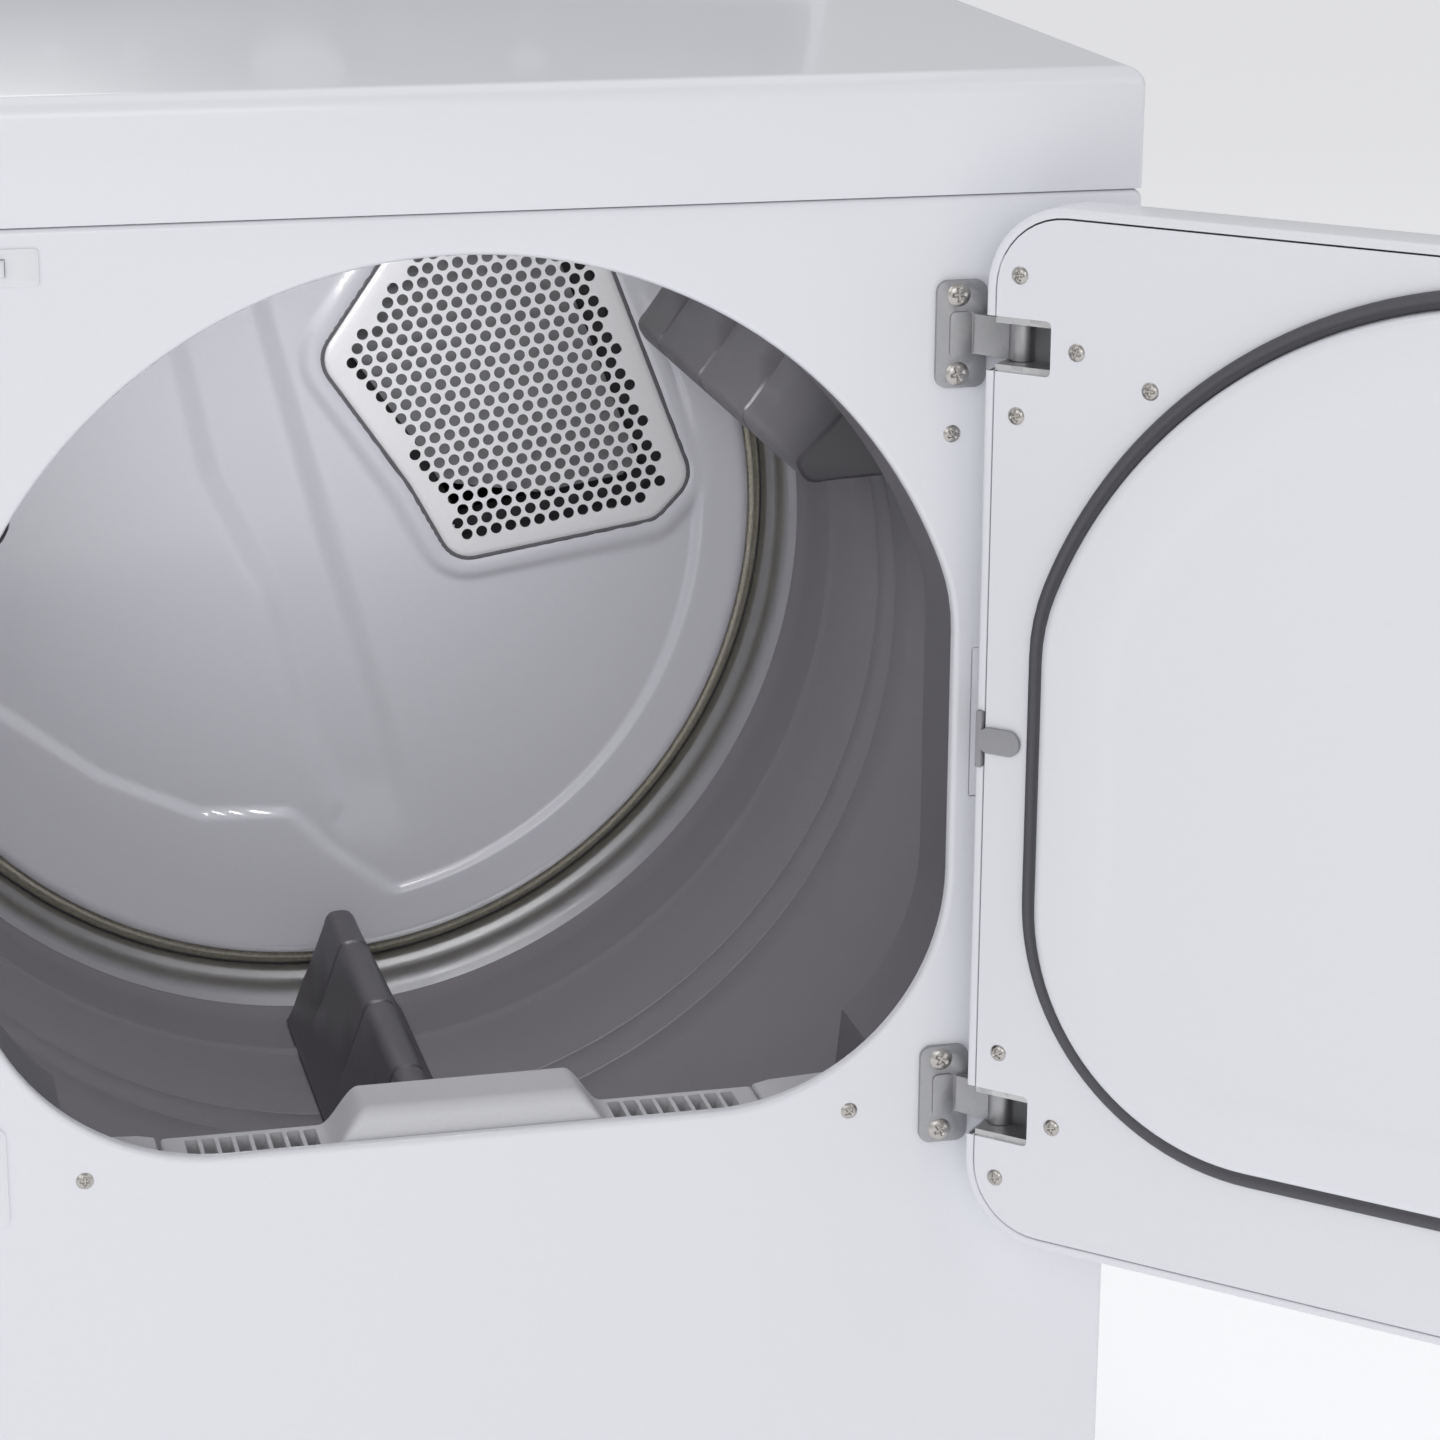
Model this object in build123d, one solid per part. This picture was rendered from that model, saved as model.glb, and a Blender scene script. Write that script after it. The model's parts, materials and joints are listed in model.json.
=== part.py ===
from build123d import *
import math
import os

# Clothes dryer with a rear console and a side-swing door, millimetres.
# Frame: origin on the floor under the cabinet's centre, +X to the right of a person
# facing the door, +Y towards the back, +Z up. The door stands open, as at joint value 0.

# ---- cabinet ----
WIDTH = 686.0
DEPTH = 700.0
DECK_Z = 986.0
SEAM_Z = 926.0
CONSOLE_TOP = 1130.0
BASE_Z = 26.0
SHEET = 1.2
GAP = 0.3
FRONT = -DEPTH / 2
BACK = DEPTH / 2
SIDE = WIDTH / 2

# ---- loading opening: round top, straight sides, wide lower corners ----
OPEN_R = 261.0
OPEN_CZ = 644.0
OPEN_HALF = 250.3
OPEN_BOTTOM = 450.7
OPEN_CORNER = 123.4
OPEN_SHOULDER = 20.0

# ---- drum ----
DRUM_Z = 627.0
DRUM_R = 321.0
DRUM_T = 1.0
DRUM_FRONT = FRONT + 58.0
DRUM_STEP = FRONT + 552.0
DRUM_REAR = FRONT + 606.0
BAFFLE_TOP_R = 243.0
BAFFLE_LEAN = 1.5

# ---- rear wall ----
WALL_FACE = FRONT + 590.0
WALL_PLATE = FRONT + 613.0
WALL_R = 293.0
FELT_REAR_R = 303.3

# ---- front support ----
THROAT_BACK = FRONT + 52.0
RING_R = 308.0
RING_BACK = FRONT + 80.0

# ---- door, given as it is when closed, then swung open ----
DOOR_HALF = 287.0
DOOR_H = 545.0
DOOR_Z = 654.0
DOOR_GAP = 5.0
DOOR_T = 36.0
DOOR_SHEET = 1.5
DOOR_R = 42.0
RIM = 4.7
DOOR_IN = FRONT - DOOR_GAP
DOOR_OUT = DOOR_IN - DOOR_T
PLATEAU_H = 11.0
PLATEAU_INSET = 2.0
SEAL_OUT = 7.0
SEAL_H = 4.6
HINGE_X = 275.0
HINGE_Y = FRONT - 21.5
HINGE_RISE = 203.0
HINGE_Z = (DOOR_Z - HINGE_RISE, DOOR_Z + HINGE_RISE)
REST_OPEN = 135.8
NOTCH_X = 251.7
NOTCH_HALF = 13.8
PIN_R = 3.0

# ---- lint filter and air path ----
FILTER_HALF = 157.0
FILTER_TOP = 445.0
FILTER_FRONT = FRONT + 14.8
FILTER_BACK = FRONT + 46.0
HANDLE_TOP = 467.0
GRILLE_BARS = 8
GRILLE_PITCH = 8.9
HOUSING_FLOOR = 250.0
LEDGE = ((158.0, 445.0), (184.0, 453.2), (197.0, 458.5), (206.0, 464.5), (211.5, 474.0), (214.0, 485.0))
DUCT_X = (-160.0, -60.0)
PIPE_R = 50.8
PIPE_X = 25.0
PIPE_Z = 92.0
PIPE_OUT = BACK + 45.0

# ---- drive ----
MOTOR_X = -110.0
MOTOR_Z = 140.0
MOTOR_R = 62.0
SHAFT_R = 6.0
PULLEY_R = 11.5
BELT_Y = (-40.0, -20.0)
BELT_T = 3.0
BELT_AIR = 0.5
IDLER_R = 20.0
ROLLER_R = 38.0
ROLLER_ANGLE = 35.0
ROLLER_Y = (FRONT + 510.0, FRONT + 532.0)
AXLE_R = 6.0
RUNNING = 0.05

# ---- small hardware ----
SCREW_HEAD_R = 4.5
SCREW_HEAD_H = 1.6
SCREW_R = 1.9
HINGE_HEAD_R = 6.0
HINGE_HEAD_H = 1.6

# ---- console ----
FACE_FOOT = (232.0, 1000.0)
FACE_HEAD = (290.0, 1120.0)
KNOB_X = 0.0
KNOB_R = 30.0
KNOB_H = 26.0
FASCIA = (664.0, 108.0, 3.0)
BUTTONS = (("dryness_button", -150.0, 9.0), ("heat_button", -100.0, 9.0), ("start_button", 150.0, 14.0))
BUTTON_LIFT = 4.0

# ---- front panel and door fittings ----
PANEL_SCREWS = ((198.7, 445.0), (-198.7, 445.0), (246.5, 806.0), (-246.5, 806.0))
HINGE_SCREWS = tuple((247.7, z + rise) for z in HINGE_Z for rise in (-19.9, 19.9))
CATCH_X = 268.0
CATCH_SLOT = (16.0, 80.0)
SWITCH_AT = (-222.0, 907.5)
SWITCH_BEZEL = (44.0, 18.0)
GRIP = (-262.0, 90.0, 22.0)

# ---- rear and floor fittings ----
FOOT_AT = ((-300, -310), (300, -310), (-300, 300), (300, 300))
INLET_AT = (-230.0, 130.0)
INLET_R = 14.0
LOUVRES = 8
BACK_SCREWS = tuple((x, z) for x in (-332, 332) for z in (90, 350, 620, 890))
COVER_SCREWS = ((-283.0, 205.0), (-177.0, 205.0))

# ---- air inlet, heater and blower ----
GRILLE_OUTLINE = ((99, 605), (226, 625), (246, 646), (193, 785), (168, 833),
                  (103, 857), (60, 795), (17.5, 734), (73, 653))
GRILLE_MIDDLE = (130.0, 730.0)
GRILLE_ROUND = 12.0
HOLE_R = 3.7
HOLE_PITCH = 9.7
HOLE_TILT = 9.0
HEATER_X = (0.0, 262.0)
HEATER_Z = (560.0, 880.0)
BLOWER_Y = (FRONT + 50.2, FRONT + 114.0)
BLOWER_R = 98.0
IDLER_PIVOT = (-60.0, 60.0)

ALL = {}


def keep(name, shape):
    """Store one named piece, to be written at the end."""
    ALL[name] = shape


def block(x, y, z):
    """A box from three (low, high) pairs."""
    size = (x[1] - x[0], y[1] - y[0], z[1] - z[0])
    middle = ((x[0] + x[1]) / 2, (y[0] + y[1]) / 2, (z[0] + z[1]) / 2)
    return Pos(*middle) * Box(*size)


def along_x(outline, half):
    """Extrude a closed outline drawn in Y and Z from x = -half to x = +half."""
    side = Plane(origin=(-half, 0, 0), x_dir=(0, 1, 0), z_dir=(1, 0, 0))
    return side * extrude(make_face(outline), 2 * half)


def rod_y(x, z, radius, y):
    """A cylinder along Y from y[0] to y[1]."""
    return Pos(x, (y[0] + y[1]) / 2, z) * Rot(90, 0, 0) * Cylinder(radius, y[1] - y[0])


def rod_z(x, y, radius, z):
    """A cylinder along Z from z[0] to z[1]."""
    return Pos(x, y, (z[0] + z[1]) / 2) * Cylinder(radius, z[1] - z[0])


def tube_y(x, z, outer, inner, y):
    """A tube along Y."""
    return rod_y(x, z, outer, y) - rod_y(x, z, inner, (y[0] - 1, y[1] + 1))


def slab(face, y):
    """Extrude a face drawn in X and Z (as X and Y) from y[0] to y[1]."""
    return Pos(0, y[1], 0) * Rot(90, 0, 0) * extrude(face, y[1] - y[0])


def joined(shapes):
    """Fuse a list of solids."""
    total = shapes[0]
    for shape in shapes[1:]:
        total = total + shape
    return total


def group(name, shapes):
    """Keep separate solids together as one node."""
    solids = []
    for shape in shapes:
        solids.extend(shape.solids())
    keep(name, Compound(children=solids))


def opening_face(offset_by=0.0):
    """The loading opening's outline, grown by offset_by, in X and Z."""
    half = OPEN_HALF + offset_by
    radius = OPEN_R + offset_by
    corner = OPEN_CORNER + offset_by
    bottom = OPEN_BOTTOM - offset_by
    corner_z = bottom + corner
    corner_x = half - corner
    top_z = OPEN_CZ + math.sqrt(radius ** 2 - half ** 2)
    slant = corner * math.sqrt(0.5)
    line = [
        ThreePointArc((half, top_z), (0, OPEN_CZ + radius), (-half, top_z)),
        Line((-half, top_z), (-half, corner_z)),
        ThreePointArc((-half, corner_z), (-corner_x - slant, corner_z - slant), (-corner_x, bottom)),
        Line((-corner_x, bottom), (corner_x, bottom)),
        ThreePointArc((corner_x, bottom), (corner_x + slant, corner_z - slant), (half, corner_z)),
        Line((half, corner_z), (half, top_z)),
    ]
    face = make_face(line)
    shoulders = face.vertices().filter_by(lambda v: abs(v.Y - top_z) < 0.01)
    return fillet(shoulders, OPEN_SHOULDER)


def rounded(width, height, radius, x=0.0, z=0.0):
    """A rounded rectangle in X and Z."""
    return Pos(x, z) * RectangleRounded(width, height, radius)


def pan_screw(head_r, head_h, shank_r, length):
    """A pan-head screw with a cross recess, head up +Z, seat at z = 0."""
    head = Pos(0, 0, head_h / 2) * Cylinder(head_r, head_h)
    head = fillet(head.edges().group_by(Axis.Z)[-1], head_h * 0.6)
    arm = (head_r * 1.1, head_r * 0.28, head_h)
    cross = Box(*arm) + Box(arm[1], arm[0], arm[2])
    shank = Pos(0, 0, -length / 2) * Cylinder(shank_r, length)
    return head - Pos(0, 0, head_h * 1.1) * cross + shank


def facing_front(x, y, z, screw):
    """Place a screw so that its head faces -Y."""
    return Pos(x, y, z) * Rot(90, 0, 0) * screw


def facing_back(x, y, z, screw):
    """Place a screw so that its head faces +Y."""
    return Pos(x, y, z) * Rot(-90, 0, 0) * screw


def swing(shape):
    """Turn a closed-door piece about the hinge line to the open rest position."""
    return shape.rotate(Axis((HINGE_X, HINGE_Y, 0), (0, 0, 1)), REST_OPEN)


# ================= cabinet =================

def base_pan():
    inner = SIDE - SHEET - GAP
    y = (FRONT + SHEET + GAP, BACK - SHEET - GAP)
    wall = 30.0
    tray = block((-inner, inner), y, (BASE_Z, BASE_Z + wall))
    hollow = block((-inner + SHEET, inner - SHEET), (y[0] + SHEET, y[1] - SHEET), (BASE_Z + SHEET, 90))
    tray = tray - hollow
    for x, yy in FOOT_AT:
        tray = tray - rod_z(x, yy, 5.3, (20, 40))
    notch = PIPE_R + 3
    tray = tray - block((PIPE_X - notch, PIPE_X + notch), (y[1] - 5, y[1] + 5), (BASE_Z + SHEET, 90))
    keep("base_pan", tray)


def side_panel(name, sign):
    """Sheet with return flanges at its front and back edges."""
    y = (FRONT + 18.5, BACK - SHEET - GAP)
    z = (24.0, SEAM_Z - GAP)
    flange = 16.0
    sheet = block((SIDE - SHEET, SIDE), y, z)
    low = SIDE - flange
    front = block((low, SIDE), (y[0], y[0] + SHEET), (BASE_Z + 34, z[1] - 1))
    back = block((low, SIDE), (y[1] - SHEET, y[1]), (BASE_Z + 34, z[1] - 1))
    panel = joined([sheet, front, back])
    for x, zz in BACK_SCREWS:
        panel = panel - rod_y(abs(x), zz, SCREW_R + 0.1, (y[1] - 5, y[1] + 5))
    keep(name, panel if sign > 0 else panel.mirror(Plane.YZ))


def front_panel():
    face = rounded(WIDTH, SEAM_Z - GAP - 24, 2.0, 0, (SEAM_Z - GAP + 24) / 2)
    panel = slab(face - opening_face(), (FRONT, FRONT + SHEET))
    collar = slab(opening_face(SHEET) - opening_face(), (FRONT, FRONT + 14))
    panel = panel + collar
    z = (24.0, SEAM_Z - GAP)
    for sign in (-1, 1):
        side = sorted((sign * SIDE, sign * (SIDE - SHEET)))
        panel = panel + block(side, (FRONT + 0.5, FRONT + 18), z)
        slot = block((sign * CATCH_X - CATCH_SLOT[0] / 2, sign * CATCH_X + CATCH_SLOT[0] / 2),
                     (FRONT - 1, FRONT + 5),
                     (DOOR_Z - CATCH_SLOT[1] / 2, DOOR_Z + CATCH_SLOT[1] / 2))
        panel = panel - slot
    for x, z in PANEL_SCREWS:
        panel = panel - rod_y(x, z, SCREW_R + 0.1, (FRONT - 1, FRONT + 3))
    for x, z in HINGE_SCREWS:
        panel = panel - rod_y(x, z, 2.6, (FRONT - 1, FRONT + 3))
    bezel = block((SWITCH_AT[0] - 20, SWITCH_AT[0] + 20), (FRONT - 1, FRONT + 5),
                  (SWITCH_AT[1] - 7, SWITCH_AT[1] + 7))
    keep("front_panel", panel - bezel)


def top_cover():
    shell = block((-SIDE, SIDE), (FRONT, BACK), (SEAM_Z, DECK_Z))
    edges = shell.edges().group_by(Axis.Z)[-1]
    shell = fillet(edges, 10)
    upright = shell.edges().filter_by(Axis.Z)
    shell = fillet(upright, 3)
    inner = SIDE - SHEET
    hollow = block((-inner, inner), (FRONT + SHEET, BACK - SHEET), (SEAM_Z - 1, DECK_Z - SHEET))
    edges = hollow.edges().group_by(Axis.Z)[-1]
    hollow = fillet(edges, 9)
    keep("top_cover", shell - hollow)


def back_panel():
    z = (BASE_Z, SEAM_Z - GAP)
    inner = SIDE - 0.2
    panel = block((-inner, inner), (BACK - SHEET, BACK), z)
    panel = panel - rod_y(PIPE_X, PIPE_Z, PIPE_R + 1.2, (BACK - 5, BACK + 5))
    panel = panel - block((-275, -185), (BACK - 5, BACK + 5), (170, 240))
    panel = panel - rod_y(INLET_AT[0], INLET_AT[1], INLET_R, (BACK - 5, BACK + 5))
    for row in range(LOUVRES):
        zz = 640 + row * 26
        for x in (60, 180):
            slot = slab(rounded(90, 6, 2.9, x, zz), (BACK - 5, BACK + 5))
            panel = panel - slot
    for x, zz in BACK_SCREWS:
        panel = panel - rod_y(x, zz, SCREW_R + 0.1, (BACK - 5, BACK + 5))
    for x, zz in COVER_SCREWS:
        panel = panel - rod_y(x, zz, SCREW_R + 0.1, (BACK - 5, BACK + 5))
    keep("back_panel", panel)


def terminals():
    """Terminal block on a plate inside, and its cover on the back panel."""
    plate = block((-290, -170), (BACK - 44, BACK - 42.5), (160, 250))
    foot = block((-290, -170), (BACK - 44, BACK - SHEET - GAP), (160, 161.5))
    body = block((-260, -200), (BACK - 42.5, BACK - 22), (185, 225))
    block_body = plate + foot + body
    for x in (-248, -230, -212):
        block_body = block_body + rod_y(x, 205, 4.0, (BACK - 22, BACK - 14))
    keep("terminal_block", block_body)
    cover = slab(rounded(124, 90, 6, -230, 205), (BACK, BACK + SHEET))
    for x, z in COVER_SCREWS:
        cover = cover - rod_y(x, z, SCREW_R + 0.1, (BACK - 5, BACK + 5))
    keep("terminal_cover", cover)


def feet():
    solids = []
    for x, y in FOOT_AT:
        pad = rod_z(x, y, 20, (0, 10))
        pad = fillet(pad.edges().group_by(Axis.Z)[-1], 3)
        nut = Pos(x, y, 10) * extrude(RegularPolygon(11, 6), BASE_Z - 10.1)
        solids.append(pad + nut + rod_z(x, y, 5.0, (8, 44)))
    group("levelling_feet", solids)


def console():
    """Hollow housing on the deck, its sloping face open behind the fascia."""
    y0, z0 = FACE_FOOT
    y1, z1 = FACE_HEAD
    low = DECK_Z + 0.2
    outline = Polyline((y0 - 6.77, low), (BACK, low), (BACK, CONSOLE_TOP),
                       (y1 + 4.83, CONSOLE_TOP), close=True)
    half = SIDE - 1.0
    solid = along_x(outline, half)
    solid = fillet(solid.edges().group_by(Axis.Z)[-1], 6)
    wall = 2.5
    inside = Polyline((y0 - 2.7, low - 1), (BACK - wall, low - 1), (BACK - wall, CONSOLE_TOP - wall - 1),
                      (y1 + 6.0, CONSOLE_TOP - wall - 1), close=True)
    void = along_x(inside, half - wall)
    window = face_plane() * Box(640, 84, 14)
    keep("console_housing", solid - void - window)


def face_plane():
    """Centre of the console's sloping face, local Z out of the face, local Y up it."""
    y = (FACE_FOOT[0] + FACE_HEAD[0]) / 2
    z = (FACE_FOOT[1] + FACE_HEAD[1]) / 2
    run = math.hypot(FACE_HEAD[0] - FACE_FOOT[0], FACE_HEAD[1] - FACE_FOOT[1])
    rise = (FACE_HEAD[1] - FACE_FOOT[1]) / run
    lean = (FACE_HEAD[0] - FACE_FOOT[0]) / run
    return Plane(origin=(0, y, z), x_dir=(1, 0, 0), z_dir=(0, -rise, lean))


def controls():
    plane = face_plane()
    seat = 0.2
    plate = Pos(0, 0, seat + FASCIA[2] / 2) * Box(*FASCIA)
    plate = fillet(plate.edges().filter_by(Axis.Z), 8)
    plate = plate - Pos(KNOB_X, 0, 0) * Cylinder(4.3, 20)
    top = seat + FASCIA[2]
    for name, x, radius in BUTTONS:
        plate = plate - Pos(x, 0, 0) * Cylinder(radius + 0.4, 20)
        cap = Pos(x, 0, top / 2 + BUTTON_LIFT / 2 - 1) * Cylinder(radius, top + BUTTON_LIFT + 2)
        cap = fillet(cap.edges().group_by(Axis.Z)[-1], 1.2)
        flange = Pos(x, 0, seat - 1.3) * Cylinder(radius + 1.5, 1.4)
        keep(name, plane * (cap + flange))
    keep("console_fascia", plane * plate)
    grip = Pos(KNOB_X, 0, top + 0.5 + KNOB_H / 2) * Cylinder(KNOB_R, KNOB_H)
    grip = fillet(grip.edges().group_by(Axis.Z)[-1], 4)
    mark = Pos(KNOB_X, KNOB_R * 0.62, top + 0.5 + KNOB_H) * Box(2.4, KNOB_R * 0.5, 1.6)
    stem = Pos(KNOB_X, 0, top / 2 - 5.7) * Cylinder(4.0, top + 13)
    keep("cycle_knob", plane * (grip - mark + stem))
    board = Pos(40, 0, -16) * Box(560, 70, 1.6)
    switch = Pos(KNOB_X, 0, -14.1) * Cylinder(9, 2.2)
    rails = [Pos(x, 0, -19.8) * Box(8, 60, 6) for x in (-220, 300)]
    keep("control_board", plane * joined([board, switch] + rails))


# ================= drum support =================

def front_bulkhead():
    """Support plate with a throat to the opening and a ring for the drum's front edge."""
    plate_y = (THROAT_BACK, THROAT_BACK + SHEET)
    face = rounded(650, 660, 6, 0, 580) - opening_face()
    body = slab(face, plate_y)
    body = body + slab(opening_face(SHEET) - opening_face(), (FRONT + 14.3, plate_y[0]))
    ring = tube_y(0, DRUM_Z, RING_R, RING_R - SHEET, (plate_y[1], RING_BACK))
    shelf = FILTER_HALF + 58.0
    gap = block((-shelf, shelf), (FRONT, plate_y[0]), (HOUSING_FLOOR - 5, 500))
    body = body + ring - gap
    slot = block((-FILTER_HALF - 4, FILTER_HALF + 4), (plate_y[0] - 1, plate_y[1] + 1), (440, 470))
    keep("front_bulkhead", body - slot)


def seals():
    front = tube_y(0, DRUM_Z, 316.4, RING_R, (FRONT + 60, FRONT + 78))
    keep("front_felt", front)
    rear = tube_y(0, DRUM_Z, FELT_REAR_R, WALL_R, (FRONT + 595, WALL_PLATE))
    keep("rear_felt", rear)


def grille_face(offset_by=0.0):
    """Outline of the air inlet in the rear wall, rounded at its corners."""
    face = make_face(Polyline(*GRILLE_OUTLINE, close=True))
    face = fillet(face.vertices(), GRILLE_ROUND)
    return offset(face, offset_by) if offset_by else face


def rear_bulkhead():
    """Rear wall: a plate with a raised round dish, ribs and the air inlet."""
    plate = block((-325, 325), (WALL_PLATE, WALL_PLATE + SHEET), (250, 915))
    dish = rod_y(0, DRUM_Z, WALL_R, (WALL_FACE, WALL_PLATE + SHEET))
    dish = fillet(dish.edges().group_by(Axis.Y)[0], 8)
    hollow = rod_y(0, DRUM_Z, WALL_R - SHEET, (WALL_FACE + SHEET, WALL_PLATE + SHEET + 1))
    hollow = fillet(hollow.edges().group_by(Axis.Y)[0], 7)
    wall = plate + dish - hollow
    wall = wall - slab(grille_face(-4.0), (WALL_FACE - 5, WALL_PLATE + 5))
    wall = wall - slab(grille_face(8.0), (WALL_FACE - 5, WALL_FACE + 0.6))
    for x, z in roller_centres():
        wall = wall - rod_y(x, z, AXLE_R + 0.1, (WALL_PLATE - 2, WALL_PLATE + 4))
    keep("rear_bulkhead", wall)


def rear_grille():
    """Perforated plate over the air inlet, holes in a tilted close pattern."""
    face = grille_face(3.0)
    field = grille_face(-7.5)
    tilt = math.radians(HOLE_TILT)
    holes = []
    for row in range(-19, 20):
        for column in range(-19, 20):
            u = (column + 0.5 * (row % 2)) * HOLE_PITCH
            v = row * HOLE_PITCH * math.sqrt(0.75)
            x = GRILLE_MIDDLE[0] + u * math.cos(tilt) - v * math.sin(tilt)
            z = GRILLE_MIDDLE[1] + u * math.sin(tilt) + v * math.cos(tilt)
            if field.face().is_inside((x, z, 0)):
                holes.append(Pos(x, z) * Circle(HOLE_R))
    plate = slab(face - holes, (WALL_FACE - 0.6, WALL_FACE + 0.4))
    keep("rear_grille", plate)


def roller_centres():
    reach = DRUM_R + DRUM_T + 0.3 + ROLLER_R
    angle = math.radians(ROLLER_ANGLE)
    return [(sign * reach * math.sin(angle), DRUM_Z - reach * math.cos(angle)) for sign in (-1, 1)]


def rollers():
    axles = []
    for name, (x, z) in zip(("roller_left", "roller_right"), roller_centres()):
        wheel = rod_y(x, z, ROLLER_R, ROLLER_Y)
        wheel = wheel - rod_y(x, z, AXLE_R + RUNNING, (ROLLER_Y[0] - 1, ROLLER_Y[1] + 1))
        for y in ((ROLLER_Y[0] - 1, ROLLER_Y[0] + 4), (ROLLER_Y[1] - 4, ROLLER_Y[1] + 1)):
            wheel = wheel - tube_y(x, z, ROLLER_R - 7, 12, y)
        keep(name, wheel)
        axle = rod_y(x, z, AXLE_R, (ROLLER_Y[0] - 6, WALL_PLATE + SHEET + 10))
        washer = rod_y(x, z, 10, (ROLLER_Y[0] - 4, ROLLER_Y[0] - GAP))
        nut = rod_y(x, z, 10, (WALL_PLATE - 6, WALL_PLATE - 0.1))
        axles.append(axle + washer + nut)
    group("roller_axles", axles)


# ================= drum =================

def drum_profile(points, thickness):
    """Revolve a wall given as (radius, y) points on its inner side."""
    outer = [(r + thickness, y) for r, y in reversed(points)]
    line = Polyline(*(list(points) + outer), close=True)
    return Pos(0, 0, DRUM_Z) * revolve(make_face(line), Axis.Y)


def bead(y, radius, depth, half=4.0):
    """Profile points of one rounded inward bead."""
    low = radius - depth
    return [(radius, y - half), (low, y - half / 3), (low, y + half / 3), (radius, y + half)]


def drum():
    neck = 316.7
    points = [(neck, DRUM_FRONT), (neck, DRUM_FRONT + 26), (DRUM_R, DRUM_FRONT + 36)]
    for y in (FRONT + 345, FRONT + 383):
        points += bead(y, DRUM_R, 1.0, 2.5)
    points += bead(FRONT + 487, DRUM_R, 2.5, 6.0)
    points += [(DRUM_R, DRUM_STEP - 6), (DRUM_R - 5, DRUM_STEP + 4)]
    keep("drum_shell", drum_profile(points, DRUM_T))
    start = DRUM_STEP + 4
    band = [(DRUM_R - 5, start + 0.05), (312.5, start + 8), (311.0, start + 31),
            (304.6, start + 38), (304.6, DRUM_REAR)]
    keep("drum_rear_band", drum_profile(band, DRUM_T))
    for index in range(3):
        baffle(index)


def baffle(index):
    """Hollow tapered lifter with a rounded ridge, on the drum's inner wall."""
    foot_r = DRUM_R - 3.2
    y = (FRONT + 110, FRONT + 536)
    rise = foot_r - BAFFLE_TOP_R
    section = make_face(Polyline((-38, 0), (-30, 20), (-9, rise - 8), (-6, rise), (6, rise),
                                 (9, rise - 8), (30, 20), (38, 0), close=True))
    section = fillet(section.vertices().group_by(Axis.Y)[-1], 5.0)
    body = Pos(0, y[1], DRUM_Z - foot_r) * Rot(90, 0, 0) * extrude(section, y[1] - y[0])
    core = make_face(Polyline((-33, -1), (-27, 18), (-6, rise - 9), (6, rise - 9),
                              (27, 18), (33, -1), close=True))
    body = body - Pos(0, y[1] - 3, DRUM_Z - foot_r) * Rot(90, 0, 0) * extrude(core, y[1] - y[0] - 6)
    body = body & rod_y(0, DRUM_Z, DRUM_R - 2.6, y)
    slope = block((-60, 60), (y[0] - 60, y[0]), (DRUM_Z - 400, DRUM_Z))
    slope = slope.rotate(Axis((0, y[0], DRUM_Z - foot_r), (1, 0, 0)), -24)
    body = body - slope
    turned = body.rotate(Axis((0, 0, DRUM_Z), (0, 1, 0)), -(BAFFLE_LEAN + 120 * index))
    keep("baffle_%d" % (index + 1), turned)


# ================= air path =================

def lint_parts():
    """Lifting filter with a grip, in its housing below the opening."""
    y = (FILTER_FRONT, FILTER_BACK)
    bar = block((-FILTER_HALF, FILTER_HALF), y, (FILTER_TOP - 9, FILTER_TOP))
    for sign in (-1, 1):
        for slot in range(GRILLE_BARS):
            x = sign * (FILTER_HALF - 12 - GRILLE_PITCH * (slot + 0.5))
            half = GRILLE_PITCH / 2 - 1.1
            bar = bar - block((x - half, x + half), (y[0] + 3, y[1] - 3), (FILTER_TOP - 12, FILTER_TOP + 1))
    hump = make_face(Polyline((-78, FILTER_TOP - 4), (-56, HANDLE_TOP), (56, HANDLE_TOP),
                              (78, FILTER_TOP - 4), close=True))
    hump = fillet(hump.vertices().group_by(Axis.Y)[-1], 9)
    hump = slab(hump, (y[0], y[1] - 4))
    top_edges = hump.edges().filter_by(lambda edge: edge.center().Z > HANDLE_TOP - 0.5)
    hump = fillet(top_edges, 5)
    hollow = make_face(Polyline((-62, FILTER_TOP - 12), (-52, HANDLE_TOP - 5), (52, HANDLE_TOP - 5),
                                (62, FILTER_TOP - 12), close=True))
    finger = slab(hollow, (y[0] + 4, y[1] + 1))
    screen_y = (FRONT + 22, FRONT + 34)
    frame = block((-140, 140), screen_y, (270, FILTER_TOP - 8.9))
    frame = frame - block((-134, 134), (screen_y[0] + 1.2, screen_y[1] - 1.2), (276, FILTER_TOP - 5))
    for sign in (-1, 1):
        window = block((4, 130) if sign > 0 else (-130, -4), (screen_y[0] - 1, screen_y[0] + 1.3), (280, 428))
        frame = frame - window
    keep("lint_filter", bar + hump - finger + frame)
    lint_housing()


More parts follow.
